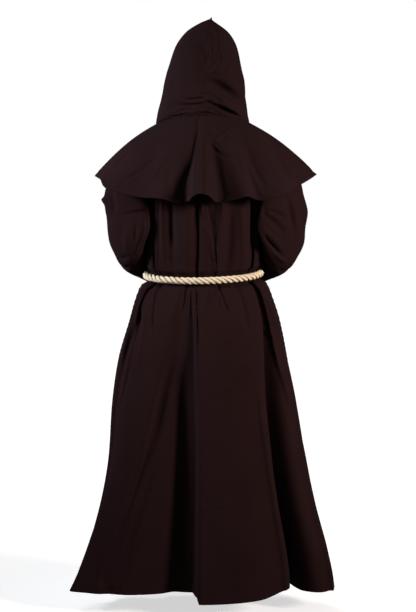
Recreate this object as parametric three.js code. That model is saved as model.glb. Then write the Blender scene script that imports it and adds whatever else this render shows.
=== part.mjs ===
// A monk costume as it is worn, with nobody in it: a long robe with a centre back seam, two wide sleeves
// bent towards the front, a hooded shoulder cape in left and right halves, and a laid rope belt knotted in
// front.
// Millimetres, +Z up. The origin is the middle of the shoulder line, where the wearer holds it up.
// The costume faces -Y, so its back is at +Y and the wearer's left is at +X.
import * as THREE from 'three';

// Driving dimensions
const clothThickness = 2; // each panel's wall
const seamGap = 0.3; // between panels that are sewn to each other
const armholeGap = 0.5; // between the sleeve head and the body, measured along X
const hemHeight = -1468; // the robe's hem at its sides
const waistHeight = -476; // the rope's mean height
const underarmHeight = -200; // lowest point of the armhole
const shoulderTipHeight = -31; // highest point of the armhole
const capeLength = 283; // along the cloth from the neck seam to the hem
const ropeRadius = 11;
const ropePitch = 54; // one strand's full turn
const ropeClearance = 1; // between the rope and the cloth under it
const waistDip = 19; // the belt sits lower at the back than at the front
const waistTilt = 4; // and a little higher on the wearer's right
const tailSpread = 17; // each belt end hangs this far from the knot's middle

const { lerp, clamp, degToRad, radToDeg } = THREE.MathUtils;

// A smooth curve through one column of a table that doesn't overshoot between rows.
function curveThrough(rows, key, column) {
  const at = rows.map((row) => row[key]);
  const value = rows.map((row) => row[column]);
  const step = at.slice(1).map((x, i) => (value[i + 1] - value[i]) / (x - at[i]));
  const slope = at.map((_, i) => {
    if (i === 0) return step[0];
    if (i === at.length - 1) return step[i - 1];
    return step[i - 1] * step[i] <= 0 ? 0 : 2 / (1 / step[i - 1] + 1 / step[i]);
  });
  const way = Math.sign(at[1] - at[0]);
  return (x) => {
    let i = 0;
    while (i < at.length - 2 && way * (x - at[i + 1]) > 0) i += 1;
    const span = at[i + 1] - at[i];
    const t = clamp((x - at[i]) / span, 0, 1);
    return (
      value[i] * (1 + 2 * t) * (1 - t) ** 2 +
      value[i + 1] * t * t * (3 - 2 * t) +
      span * (slope[i] * t * (1 - t) ** 2 + slope[i + 1] * t * t * (t - 1))
    );
  };
}

// A table's rows, from its columns' names and one list of values for each row.
const table = (names, rows) =>
  rows.map((row) => Object.fromEntries(names.map((name, i) => [name, row[i]])));

// Every column of a table as a smooth curve by the key column.
const columnsOf = (rows, key) =>
  Object.fromEntries(Object.keys(rows[0]).map((name) => [name, curveThrough(rows, key, name)]));

const wrapDegrees = (angle) => ((((angle + 180) % 360) + 360) % 360) - 180;
const bell = (x) => Math.exp(-x * x);

// Robe rings, from the neck down. side is the ring's height at the side seams, and the neck's front and
// back differ from it by backRise and frontRise. boxiness 2 is an ellipse.
const robeRings = columnsOf(
  table(['side', 'halfWidth', 'back', 'front', 'backRise', 'frontRise', 'boxiness', 'centre'], [
    [-13, 104, 72, 78, 12, -26, 2, 2],
    [-22, 140, 82, 86, 4, -24, 2, 2],
    [shoulderTipHeight, 170, 94, 94, -8, -24, 2.1, 1],
    [-70, 181, 106, 104, -8, -18, 2.2, 0],
    [-130, 183, 118, 116, -4, -8, 2.2, 0],
    [-200, 180, 124, 123, 0, 0, 2.2, 0],
    [-300, 183, 124, 122, 0, 0, 2.2, 0],
    [-400, 182, 122, 118, 0, 0, 2.2, 0],
    [-446, 180, 122, 116, 0, 0, 2.1, 1],
    [-464, 167, 111, 104, 0, 0, 2, 2],
    [-488, 168, 112, 105, 0, 0, 2, 2],
    [-507, 197, 134, 122, 0, 0, 2, 1],
    [-554, 217, 150, 132, 0, 0, 2.1, 0],
    [-617, 236, 162, 140, 0, 0, 2.2, -2],
    [-743, 267, 174, 152, 0, 0, 2.3, 2],
    [-869, 287, 180, 163, 0, 0, 2.4, -1],
    [-1058, 306, 183, 180, 0, 0, 2.5, -10],
    [-1184, 329, 185, 193, 0, 0, 2.5, -12],
    [-1310, 362, 187, 206, 0, 0, 2.5, -12],
    [-1410, 388, 189, 214, 0, 0, 2.5, -9],
    [hemHeight, 403, 190, 218, 0, 0, 2.5, -2],
  ]),
  'side',
);

// The centre back seam wanders: degrees from the centre back, towards the wearer's left.
const seamLine = curveThrough(
  table(['side', 'angle'], [
    [-13, 6],
    [-300, 5.6],
    [-446, 5.8],
    [-488, 7.9],
    [-617, 5.7],
    [-743, 3.4],
    [-869, 3.2],
    [-1058, 4.3],
    [-1184, 4.5],
    [-1310, 4.3],
    [hemHeight, 2.9],
  ]),
  'side',
  'angle',
);

// Skirt folds: angles at the belt, at the knee and at the hem, in degrees round from the centre back
// towards the wearer's left, and the widths to each side. Depths push the cloth in where they are
// negative. The back seam's fold is measured from the seam.
const kneeShare = 0.45;
const skirtColumns = ['name', 'belt', 'knee', 'hem', 'left', 'right', 'beltDepth', 'hemDepth', 'growth'];
const skirtFolds = table(skirtColumns, [
  ['back seam', 3.6, 3.6, 3.7, 25, 2.3, -9, -88, 1],
  ['left back drag', 14, 29, 45, 3.5, 7, 0, -15, 0.6],
  ['left back corner', 74, 74, 74, 14, 12, 0, 36, 2.2],
  ['left hip', 56, 70, 86, 4, 7, -11, -14, 1],
  ['right sweep', -34, -36, -38, 13, 20, 0, -38, 2.4],
  ['right fold', -56, -43, -45, 2.5, 7, -13, -98, 0.75],
  ['right ridge', -63, -72, -76, 4, 6, 6, 14, 1],
  ['right pocket', -74, -88, -99, 6, 7, -14, -20, 1],
  ['left side', 101, 104, 106, 7, 6, -10, -44, 1],
  ['left front', 128, 126, 124, 8, 6, -8, -58, 1],
  ['left front ridge', 141, 140, 139, 8, 9, 5, 16, 1],
  ['left centre', 157, 155, 154, 5, 7, -6, -42, 1.1],
  ['right centre', -158, -157, -157, 7, 5, -6, -40, 1.1],
  ['right front ridge', -142, -143, -143, 8, 8, 5, 18, 1],
  ['right front', -126, -127, -127, 6, 8, -9, -60, 1],
  ['right side', -104, -109, -113, 6, 7, -9, -32, 1],
]);
for (const fold of skirtFolds) {
  fold.angle = curveThrough(
    [{ share: 0, angle: fold.belt }, { share: kneeShare, angle: fold.knee }, { share: 1, angle: fold.hem }],
    'share',
    'angle',
  );
}

// Folds of the body between the cape and the belt, in the same columns, from the chest down to the belt.
const bodyFolds = table(['name', 'waist', 'chest', 'left', 'right', 'depth'], [
  ['back seam', 9, 8, 5, 2.6, -9],
  ['left back', 33, 34, 5, 6, -8],
  ['left back ridge', 46, 47, 3, 3, 4],
  ['left edge', 58, 57, 4, 3, -7],
  ['right of seam', -8, -10, 4, 3.5, -6],
  ['right back', -20, -31, 5, 6, -5],
  ['right edge', -53, -54, 3, 3.5, -11],
  ['left front', 128, 134, 6, 6, -8],
  ['left centre', 158, 162, 5, 5, -6],
  ['right centre', -155, -160, 5, 6, -7],
  ['right front', -130, -135, 6, 6, -8],
]);

// How far the hem hangs above (positive) or below its height at the sides.
const hemRise = curveThrough(
  table(['angle', 'rise'], [
    [-180, -4],
    [-90, 0],
    [-52, 4],
    [-45, 30],
    [-38, 17],
    [-24, -6],
    [2.4, -15],
    [3.6, 5],
    [70, 5],
    [90, 0],
    [180, -4],
  ]),
  'angle',
  'rise',
);

const oneSided = (away, fold) => bell(away / (away > 0 ? fold.left : fold.right));

// How far the folds push the robe's cloth out at an angle and a ring's side height.
function robePush(degrees, side) {
  if (side < waistHeight) {
    const share = (waistHeight - side) / (waistHeight - hemHeight);
    return skirtFolds.reduce((sum, fold) => {
      const start = fold.name === 'back seam' ? seamLine(side) : 0;
      const away = wrapDegrees(degrees - start - fold.angle(share));
      const depth = lerp(fold.beltDepth, fold.hemDepth, share ** fold.growth);
      return sum + depth * oneSided(away, fold);
    }, 0);
  }
  const fade = clamp((side - underarmHeight - 60) / -120, 0, 1);
  const share = clamp((waistHeight - side) / (waistHeight - underarmHeight), 0, 1);
  return bodyFolds.reduce((sum, fold) => {
    const away = wrapDegrees(degrees - lerp(fold.waist, fold.chest, share));
    return sum + fade * fold.depth * oneSided(away, fold);
  }, 0);
}

// The belt's height round the waist, which the cloth's own rings follow near it.
const beltRise = (angle) => -waistDip * Math.cos(angle) - waistTilt * Math.sin(angle);

// A point of the robe's outer face, at an angle in radians round from the centre back.
function robePoint(angle, side) {
  const sin = Math.sin(angle);
  const cos = Math.cos(angle);
  const box = robeRings.boxiness(side);
  const round = (Math.abs(sin) ** box + Math.abs(cos) ** box) ** (-1 / box);
  const depth = cos > 0 ? robeRings.back(side) : robeRings.front(side);
  const rise = cos > 0 ? robeRings.backRise(side) : robeRings.frontRise(side);
  const degrees = wrapDegrees(radToDeg(angle));
  const nearBelt = bell((side - waistHeight) / 150);
  const beltPinch = 1 - 0.75 * bell((side - waistHeight) / 22);
  const push = robePush(degrees, side) * beltPinch;
  const way = degToRad(degrees) * lerp(0.6, 1, clamp((Math.abs(degrees) - 90) / 90, 0, 1));
  const hemShare = clamp((waistHeight - side) / (waistHeight - hemHeight), 0, 1) ** 4;
  return new THREE.Vector3(
    robeRings.centre(side) + robeRings.halfWidth(side) * round * sin + push * Math.sin(way),
    depth * round * cos + push * Math.cos(way),
    side + rise * cos * cos + nearBelt * beltRise(angle) + hemShare * hemRise(degrees),
  );
}

// The armhole: its half opening in degrees from the side, by the ring's side height.
const armholeOpening = curveThrough(
  table(['side', 'opening'], [
    [shoulderTipHeight, 0],
    [-52, 19],
    [-80, 28],
    [-130, 31],
    [-175, 20],
    [underarmHeight, 0],
  ]),
  'side',
  'opening',
);
const armholeAngle = (side) =>
  side > shoulderTipHeight || side < underarmHeight ? 90 : 90 - armholeOpening(side);

// Makes a closed wall from a sheet: its outer face, the same face moved in by the thickness, and the edges.
// sheet(u, v) gives a point, beyond 0 to 1 too, so that neighbouring panels share their edge's direction.
// Seen from outside, v runs to the right of u. looped walls close on themselves round u. warp spreads the
// columns, and keepClear moves a point off a seam.
function clothWall(sheet, columns, rows, options = {}) {
  const { looped = false, warp = (u) => u, keepClear = (point) => point } = options;
  const around = looped ? columns : columns + 1;
  const small = 1e-3;
  const outer = [];
  const inner = [];
  for (let row = 0; row <= rows; row += 1) {
    for (let column = 0; column < around; column += 1) {
      const u = warp(column / columns);
      const v = row / rows;
      const point = sheet(u, v);
      const alongU = sheet(u + small, v).sub(sheet(u - small, v));
      const alongV = sheet(u, v + small).sub(sheet(u, v - small));
      const normal = alongU.cross(alongV).normalize();
      outer.push(keepClear(point.clone(), v));
      inner.push(keepClear(point.clone().addScaledVector(normal, -clothThickness), v));
    }
  }
  const vertices = outer.concat(inner);
  const back = outer.length;
  const at = (column, row) => row * around + (column % around);
  const triangles = [];
  const quad = (a, b, c, d) => triangles.push(a, b, c, a, c, d);
  for (let row = 0; row < rows; row += 1) {
    for (let column = 0; column < columns; column += 1) {
      const [a, b] = [at(column, row), at(column + 1, row)];
      const [c, d] = [at(column + 1, row + 1), at(column, row + 1)];
      quad(a, d, c, b);
      quad(back + a, back + b, back + c, back + d);
    }
  }
  for (let column = 0; column < columns; column += 1) {
    quad(at(column, 0), at(column + 1, 0), back + at(column + 1, 0), back + at(column, 0));
    quad(at(column + 1, rows), at(column, rows), back + at(column, rows), back + at(column + 1, rows));
  }
  for (let row = 0; row < rows && !looped; row += 1) {
    quad(at(0, row + 1), at(0, row), back + at(0, row), back + at(0, row + 1));
    quad(at(columns, row + 1), back + at(columns, row + 1), back + at(columns, row), at(columns, row));
  }
  return closedGeometry(vertices, triangles);
}

// A geometry from points and triangles, turned so that its faces point out.
function closedGeometry(vertices, triangles) {
  const volume = triangles.reduce((sum, _, i) => {
    if (i % 3) return sum;
    const [a, b, c] = [0, 1, 2].map((k) => vertices[triangles[i + k]]);
    return sum + a.dot(b.clone().cross(c)) / 6;
  }, 0);
  const index = volume > 0 ? triangles : triangles.slice().reverse();
  const geometry = new THREE.BufferGeometry().setFromPoints(vertices);
  geometry.setIndex(index);
  geometry.computeVertexNormals();
  return geometry;
}

// Rows of a robe panel stand closer together where the cloth turns: at the shoulders, belt and hem.
const robeRowHeights = [
  -13, -22, shoulderTipHeight, -50, -80, -125, -168, underarmHeight, -265, -335, -405, -446, -464, -488,
  -507, -550, -617, -700, -790, -890, -990, -1090, -1190, -1280, -1360, -1420, hemHeight,
];

// A robe panel between two edges, each an angle in degrees by the ring's side height.
function robePanel(fromEdge, toEdge, columns, warp) {
  const rows = robeRowHeights.length - 1;
  const heightAt = (v) => {
    const place = clamp(v, 0, 1) * rows;
    const row = Math.min(Math.floor(place), rows - 1);
    const beyond = v < 0 ? v * 9 * rows : Math.max(v - 1, 0) * 48 * rows;
    return lerp(robeRowHeights[row], robeRowHeights[row + 1], place - row) - beyond;
  };
  const halfGap = (side) => radToDeg(seamGap / 2 / Math.max(robeRings.halfWidth(side) * 0.6, 60));
  const sheet = (u, v) => {
    const side = heightAt(v);
    const from = fromEdge(side) + halfGap(side);
    const to = toEdge(side) - halfGap(side);
    return robePoint(degToRad(lerp(from, to, u)), side);
  };
  return clothWall(sheet, columns, rows, { warp });
}

// Sleeve stations, from the armhole to the cuff, for the wearer's left arm. x, y, z is the centre, go is
// the arm's direction, and out, in, under and over are how far the cloth reaches to each side of the
// arm: away from the body, towards it, to the elbow's side and to the crook's side. wider adds to out on
// the right sleeve, and half of it to under.
const sleeveStations = columnsOf(
  table(['at', 'x', 'y', 'z', 'goX', 'goY', 'goZ', 'out', 'in', 'under', 'over', 'wider'], [
    [0, 196, 0, -118, 0.95, 0, -0.3, 76, 78, 62, 62, 0],
    [1, 224, 2, -160, 0.66, 0, -0.75, 62, 47, 78, 72, 0],
    [2, 247, 6, -225, 0.18, 0, -0.98, 62, 60, 84, 80, 2],
    [3, 250, 10, -285, 0, 0, -1, 56, 65, 86, 78, 20],
    [4, 249, 8, -335, 0, -0.22, -0.97, 54, 63, 88, 70, 15],
    [5, 245, -8, -372, -0.08, -0.62, -0.78, 53, 58, 86, 60, 18],
    [6, 234, -46, -392, -0.28, -0.9, -0.34, 54, 50, 80, 58, 16],
    [7, 208, -100, -400, -0.5, -0.86, -0.1, 52, 46, 87, 58, 13],
    [8, 168, -152, -402, -0.7, -0.71, 0, 49, 43, 109, 59, 8],
    [9, 116, -194, -400, -0.82, -0.57, 0, 47, 41, 134, 60, 4],
    [10, 60, -228, -396, -0.9, -0.44, 0, 48, 41, 162, 62, 0],
  ]),
  'at',
);
const lastStation = 10;

// Sleeve folds: around is degrees from the elbow's side, turning outwards, and drift is how far the fold
// turns for each station that it runs.
const sleeveFolds = table(['name', 'at', 'around', 'along', 'across', 'drift', 'depth'], [
  ['crook', 4.2, 215, 0.5, 60, 0, -13],
  ['upper crook', 3.3, 235, 0.35, 40, 0, -9],
  ['inner elbow', 4.3, -55, 0.4, 34, 40, -9],
  ['inner upper', 3, -40, 0.4, 30, 36, -8],
  ['outer elbow', 5.6, 70, 0.5, 30, -20, -5],
  ['forearm upper', 7.4, 140, 0.6, 40, 20, -9],
  ['forearm lower', 8.2, 40, 0.7, 26, -14, -12],
  ['cuff front', 9.6, 62, 1.2, 15, -8, -14],
  ['cuff back', 9.6, -50, 1.1, 16, 8, -9],
  ['forearm back', 7.2, -60, 0.6, 30, 12, -8],
]);

// A point of a sleeve's outer face. angle turns from the elbow's side to the outside, and hand is 1 for the
// wearer's left sleeve and -1 for the right.
function sleevePoint(turn, at, hand) {
  const angle = hand * turn;
  const read = (name) => sleeveStations[name](at);
  const along = new THREE.Vector3(read('goX'), read('goY'), read('goZ')).normalize();
  const level = Math.hypot(along.x, along.y);
  // The elbow's side is at the back on the upper arm and underneath on the forearm.
  const elbowWay = new THREE.Vector3(0, -along.z, along.y);
  const forearm = clamp((at - 5) / 2, 0, 1);
  elbowWay.lerp(new THREE.Vector3(0, 0, -1), forearm * level).projectOnPlane(along).normalize();
  const outWay = new THREE.Vector3().crossVectors(along, elbowWay);
  const sin = Math.sin(angle);
  const cos = Math.cos(angle);
  const degrees = radToDeg(angle);
  const push = sleeveFolds.reduce((sum, fold) => {
    const run = at - fold.at;
    const away = wrapDegrees(degrees - fold.around - fold.drift * run);
    return sum + fold.depth * bell(run / fold.along) * bell(away / fold.across);
  }, 0);
  const out = read('out') + (hand < 0 ? read('wider') : 0);
  const across = (sin > 0 ? out : read('in')) * sin + push * sin;
  const under = read('under') + (hand < 0 ? read('wider') * 0.5 : 0);
  const deep = (cos > 0 ? under : read('over')) * cos + push * cos;
  // On the upper arm the back of the sleeve leans in behind the body's side.
  const lean = -0.0094 * (read('under') * Math.max(cos, 0)) ** 2 * bell((at - 3.2) / 2);
  const point = new THREE.Vector3(read('x'), read('y'), read('z'));
  point.addScaledVector(outWay, across + lean).addScaledVector(elbowWay, deep);
  point.x *= hand;
  return blendFromArmhole(point, angle, at, hand);
}

const armholeRows = robeRowHeights.filter((side) => side <= shoulderTipHeight && side >= underarmHeight);

// The sleeve head follows the armhole's edge, row by row of the body's panels, then turns into the sleeve's
// own rings by the first station.
function blendFromArmhole(point, angle, at, hand) {
  if (at >= 1) return point;
  const atBack = Math.cos(angle) > 0;
  const turn = Math.abs(wrapDegrees(radToDeg(angle) - 90)) / 180;
  const place = clamp(turn * (armholeRows.length - 1), 0, armholeRows.length - 1.001);
  const [upper, lower] = [0, 1].map((next) => {
    const side = armholeRows[Math.floor(place) + next];
    return robePoint(degToRad(hand * (atBack ? armholeAngle(side) : 180 - armholeAngle(side))), side);
  });
  const edge = upper.lerp(lower, place % 1);
  edge.x += hand * armholeGap;
  const share = clamp(at, 0, 1);
  const straight = edge.clone();
  straight.x += hand * 34 * share;
  return straight.lerp(point, share * share * (3 - 2 * share));
}

function sleeve(hand) {
  const sheet = (u, v) => {
    const at = v < 0.2 ? v * 5 : 1 + ((v - 0.2) / 0.8) * (lastStation - 1);
    return sleevePoint(u * Math.PI * 2, at, hand);
  };
  return clothWall(sheet, 20, 15, { looped: true });
}

// The hood and cape halves have the same columns where they are sewn together, closer at the centre back.
const neckColumns = 22;
const neckSeamAngle = 6.5; // the centre back seam sits this far round to the wearer's left at the neck
const halfWarp = (hand) => (hand > 0 ? (u) => u ** 1.2 : (u) => 1 - (1 - u) ** 1.2);

// The neck seam that joins the hood to the cape, by an angle round from the centre back.
function neckSeam(angle) {
  const cos = Math.cos(angle);
  return new THREE.Vector3(
    137 * Math.sin(angle),
    (cos > 0 ? 95 : 102) * cos,
    cos > 0 ? -5 + 16 * cos ** 0.7 : -5 - 52 * Math.abs(cos) ** 1.5,
  );
}

// How steeply the cape falls, in degrees below level, at the neck, half way and at the hem.
const capeSlopes = columnsOf(
  table(['angle', 'neck', 'middle', 'hem'], [
    [0, 46, 82, 86],
    [30, 42, 76, 84],
    [58, 32, 58, 70],
    [90, 24, 41, 51],
    [122, 30, 56, 70],
    [150, 42, 73, 82],
    [180, 52, 78, 84],
  ]),
  'angle',
);

// Cape flutes: lift in degrees flattens the cape's slope towards the hem, so the cloth stands out there.
const capeFlutes = table(['name', 'neck', 'hem', 'left', 'right', 'lift'], [
  ['centre back flute', 1, 2, 8.5, 8, 27],
  ['valley left of it', 7, 17.5, 9, 4, -10],
  ['valley right of it', -7, -13, 4, 10, -7],
  ['left back ridge', 30, 34, 9, 9, 4],
  ['left back valley', 42, 54, 5, 8, -6],
  ['left shoulder ridge', 66, 68, 9, 9, 4],
  ['right back ridge', -28, -33, 7, 7, 7],
  ['right back valley', -36, -46, 6, 5, -6],
  ['right shoulder valley', -64, -70, 5, 6, -6],
  ['right shoulder flute', -82, -86, 8, 9, 5],
  ['left front valley', 112, 110, 8, 8, -6],
  ['left front flute', 134, 133, 9, 9, 10],
  ['left centre valley', 158, 157, 8, 8, -5],
  ['right centre valley', -158, -155, 8, 8, -5],
  ['right front flute', -132, -131, 9, 9, 11],
  ['right front valley', -110, -109, 8, 8, -6],
]);

// A point of the cape's outer face, a distance along the cloth from the neck seam. The slope is added up in
// short steps, so every line from neck to hem has the cloth's own length.
function capePoint(angle, distance) {
  const degrees = wrapDegrees(radToDeg(angle));
  const turn = Math.abs(degrees);
  const [neck, middle, hem] = ['neck', 'middle', 'hem'].map((name) => capeSlopes[name](turn));
  const steps = 12;
  let reach = 0;
  let fall = 0;
  for (let i = 0; i < steps; i += 1) {
    const share = ((i + 0.5) / steps) * (distance / capeLength);
    const lift = capeFlutes.reduce((sum, flute) => {
      const away = wrapDegrees(degrees - lerp(flute.neck, flute.hem, share));
      return sum + flute.lift * Math.max(share, 0) ** 0.8 * oneSided(away, flute);
    }, 0);
    const base = share < 0.5 ? lerp(neck, middle, share * 2) : lerp(middle, hem, share * 2 - 1);
    const slope = degToRad(base - lift);
    reach += (Math.cos(slope) * distance) / steps;
    fall += (Math.sin(slope) * distance) / steps;
  }
  const point = neckSeam(angle);
  return point.add(new THREE.Vector3(Math.sin(angle) * reach, Math.cos(angle) * reach, -fall));
}

// Half of the cape, from the centre back seam to the centre front seam.
function capeHalf(hand) {
  const sheet = (u, v) => {
    const distance = lerp(0, capeLength, v);
    const gap = radToDeg(seamGap / 2 / lerp(95, 150, clamp(v, 0, 1)));
    const back = neckSeamAngle + hand * gap;
    const front = hand * (180 - gap);
    return capePoint(degToRad(hand > 0 ? lerp(back, front, u) : lerp(front, back, u)), distance);
  };
  return clothWall(sheet, neckColumns, 7, { warp: halfWarp(hand) });
}

// Hood rings, from the neck seam to the top seam. backZ and faceZ are the heights of the ring at the
// centre back and at the face opening's edge, which is face degrees from the centre back. seam is where the
// seam between the two halves runs, which the head has pushed round to the wearer's right.
const hoodRings = columnsOf(
  table(['share', 'halfWidth', 'back', 'front', 'backZ', 'faceZ', 'face', 'centre', 'seam'], [
    [0, 137, 95, 102, 11, -57, 180, 0, neckSeamAngle],
    [0.06, 147, 101, 113, 22, -38, 163, 4, 4],
    [0.15, 143, 108, 124, 46, 0, 143, 4, 2],
    [0.3, 132, 112, 130, 92, 60, 130, 2, 0.2],
    [0.45, 123, 114, 132, 142, 120, 126, -1, -3.5],
    [0.6, 111, 111, 132, 192, 178, 127, -4, -19],
    [0.75, 96, 100, 130, 242, 232, 133, -7, -22],
    [0.87, 72, 84, 124, 284, 265, 146, -9, -23],
    [0.95, 40, 64, 117, 306, 278, 163, -13, -20],
    [1, 0.6, 46, 112, 318, 283, 179, -23, 0],
  ]),
  'share',
);

// Slumps of the hood's cloth over the back of the head, by ring share and angle.
const hoodFolds = table(['name', 'share', 'angle', 'along', 'left', 'right', 'rise', 'depth'], [
  ['right slump', 0.31, -30, 0.05, 24, 36, -0.0027, -15],
  ['right roll over it', 0.41, -36, 0.07, 24, 34, -0.0027, 8],
  ['right neck fold', 0.12, -36, 0.035, 24, 30, -0.002, -12],
  ['back neck pucker', 0.15, 12, 0.04, 30, 22, 0, -8],
  ['back of the head', 0.56, 22, 0.22, 40, 20, 0, 7],
  ['above the head', 0.84, 16, 0.05, 45, 22, 0, -9],
  ['beside the head', 0.66, -8, 0.17, 7, 10, 0, -10],
  ['falling ridge', 0.72, -22, 0.17, 8, 16, 0, 6],
]);

// A point of the hood's outer face.
function hoodPoint(angle, share) {
  const read = (name) => hoodRings[name](share);
  const degrees = wrapDegrees(radToDeg(angle));
  const cos = Math.cos(angle);
  const push = hoodFolds.reduce((sum, fold) => {
    const away = wrapDegrees(degrees - fold.angle);
    const run = share - fold.share - fold.rise * -away;
    return sum + fold.depth * bell(run / fold.along) * oneSided(away, fold);
  }, 0);
  const middle = (read('back') - read('front')) / 2;
  const half = (read('back') + read('front')) / 2;
  const faceCos = Math.cos(degToRad(read('face')));
  const forward = clamp((1 - cos) / (1 - faceCos), 0, 1);
  const atNeck = neckSeam(angle);
  const point = new THREE.Vector3(
    read('centre') + (read('halfWidth') + push) * Math.sin(angle),
    middle + (half + push) * cos,
    lerp(read('backZ'), read('faceZ'), forward),
  );
  atNeck.z += seamGap;
  const settle = clamp(share / 0.06, -0.1, 1);
  return atNeck.lerp(point, settle * (2 - settle));
}

// Half of the hood, from the centre seam to the face opening. Its top edge is the rest of the centre seam.
function hoodHalf(hand) {
  const sheet = (u, v) => {
    const share = clamp(v, -0.001, 1);
    const gap = radToDeg(seamGap / 2 / clamp(hoodRings.halfWidth(share), 9, 80));
    const seam = hoodRings.seam(share) + hand * gap;
    const edge = hand * (hoodRings.face(share) - gap);
    return hoodPoint(degToRad(hand > 0 ? lerp(edge, seam, u) : lerp(seam, edge, u)), share);
  };
  const top = hoodRings.centre(1);
  const keepClear = (point, share) => {
    if (share > 0.999) point.x = top + hand * Math.max(hand * (point.x - top), seamGap / 2);
    return point;
  };
  return clothWall(sheet, neckColumns, 11, { warp: halfWarp(-hand), keepClear });
}

// The rope's centre line round the waist: it lies on the robe's ring, its own radius away.
function beltPoint(degrees) {
  const angle = degToRad(degrees);
  const around = (a) => robePoint(a, waistHeight);
  const point = around(angle);
  const along = around(angle + 0.02).sub(around(angle - 0.02));
  const outward = new THREE.Vector3(along.y, -along.x, 0).normalize();
  if (outward.dot(point) < 0) outward.negate();
  return point.addScaledVector(outward, ropeRadius + ropeClearance);
}

// A laid rope along a curve: a section of three strand crests with the grooves between, turned as it goes.
function laidRope(path, radius, pitch, { closed = false } = {}) {
  const turns = Math.round(path.getLength() / pitch);
  const stepsEachTurn = 8;
  const steps = turns * stepsEachTurn;
  const frames = path.computeFrenetFrames(steps, closed);
  const sides = 6;
  const groove = 0.74;
  const rings = closed ? steps : steps + 1;
  const vertices = [];
  for (let i = 0; i < rings; i += 1) {
    const centre = path.getPointAt(i / steps);
    for (let k = 0; k < sides; k += 1) {
      const angle = (k / sides + i / stepsEachTurn) * Math.PI * 2;
      const reach = k % 2 ? radius * groove : radius;
      vertices.push(
        centre
          .clone()
          .addScaledVector(frames.normals[i], Math.cos(angle) * reach)
          .addScaledVector(frames.binormals[i], Math.sin(angle) * reach),
      );
    }
  }
  const triangles = [];
  for (let i = 0; i < steps; i += 1) {
    for (let k = 0; k < sides; k += 1) {
      const a = i * sides + k;
      const b = i * sides + ((k + 1) % sides);
      const c = ((i + 1) % rings) * sides + ((k + 1) % sides);
      const d = ((i + 1) % rings) * sides + k;
      triangles.push(a, b, c, a, c, d);
    }
  }
  if (!closed) {
    for (let k = 1; k < sides - 1; k += 1) {
      const last = steps * sides;
      triangles.push(0, k + 1, k, last, last + k, last + k + 1);
    }
  }
  return closedGeometry(vertices, triangles);
}

const knotSize = 12; // half the distance between the knot's crossing strands
const beltKnotCentre = new THREE.Vector3(2, -150, waistHeight + waistDip - 4);

// The rope round the waist, from one side of the knot to the other.
function beltRope() {
  const places = 60;
  const reach = 155;
  const points = [];
  for (let i = 0; i <= places; i += 1) points.push(beltPoint(lerp(-reach, reach, i / places)));
  const ends = [-1, 1].map((hand) => [
    new THREE.Vector3(beltKnotCentre.x + hand * 60, -128, beltKnotCentre.z + 2),
    new THREE.Vector3(beltKnotCentre.x + hand * 43.6, -143.6, beltKnotCentre.z),
  ]);
  points.unshift(...ends[0].reverse());
  points.push(...ends[1]);
  return laidRope(new THREE.CatmullRomCurve3(points, false, 'centripetal'), ropeRadius, ropePitch);
}

// A belt end hangs from the knot down the front of the skirt, resting on it.
function beltTail(hand, length, drop) {
  const points = [];
  const places = 9;
  const top = beltKnotCentre.z - drop;
  for (let i = 0; i <= places; i += 1) {
    const share = i / places;
    const height = top - share * length;
    const onSkirt = -robeRings.front(height) - ropeRadius - 6;
    const y = lerp(beltKnotCentre.y - 6, onSkirt, clamp(share * 3, 0, 1));
    const spread = lerp(13, tailSpread + 5 * share, clamp(share * 2.2, 0, 1));
    points.push(new THREE.Vector3(beltKnotCentre.x + hand * spread, Math.min(y, onSkirt), height));
  }
  const section = new THREE.Shape();
  section.absarc(0, 0, ropeRadius, 0, Math.PI * 2);
  const extrudePath = new THREE.CatmullRomCurve3(points, false, 'centripetal');
  const cord = new THREE.ExtrudeGeometry(section, { steps: 14, curveSegments: 5, extrudePath });
  return cord;
}

// An overhand knot: a rope that passes over and under itself three times round.
class OverhandKnot extends THREE.Curve {
  constructor(size, tilt) {
    super();
    this.size = size;
    this.tilt = tilt;
  }

  getPoint(share, target = new THREE.Vector3()) {
    const angle = share * Math.PI * 2;
    const wide = Math.sin(angle) + 2 * Math.sin(2 * angle);
    const high = Math.cos(angle) - 2 * Math.cos(2 * angle);
    const deep = Math.sin(3 * angle);
    return target
      .set(wide * this.size * 0.86, -deep * this.size * 0.98, high * this.size * 0.8)
      .applyAxisAngle(new THREE.Vector3(0, 1, 0), this.tilt);
  }
}

function knot(size, tilt) {
  const path = new OverhandKnot(size, tilt);
  const steps = 40;
  const frames = path.computeFrenetFrames(steps, true);
  const sides = 8;
  const reach = ropeRadius * 0.86;
  const vertices = [];
  for (let i = 0; i < steps; i += 1) {
    const centre = path.getPointAt(i / steps);
    for (let k = 0; k < sides; k += 1) {
      const angle = (k / sides) * Math.PI * 2;
      vertices.push(
        centre
          .clone()
          .addScaledVector(frames.normals[i], Math.cos(angle) * reach)
          .addScaledVector(frames.binormals[i], Math.sin(angle) * reach),
      );
    }
  }
  const triangles = [];
  for (let i = 0; i < steps; i += 1) {
    for (let k = 0; k < sides; k += 1) {
      const next = (k + 1) % sides;
      const ring = ((i + 1) % steps) * sides;
      const first = i * sides;
      triangles.push(first + k, first + next, ring + next, first + k, ring + next, ring + k);
    }
  }
  return closedGeometry(vertices, triangles);
}

const material = (color, roughness) => new THREE.MeshStandardMaterial({ color, roughness, metalness: 0 });
const clothMaterial = () => material(0x2a1a1a, 0.85);
const ropeMaterial = () => material(0xe6d2ae, 0.8);

const costume = new THREE.Group();
function addPiece(name, geometry, surface) {
  const mesh = new THREE.Mesh(geometry, surface);
  mesh.name = name;
  costume.add(mesh);
  return mesh;
}

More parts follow.
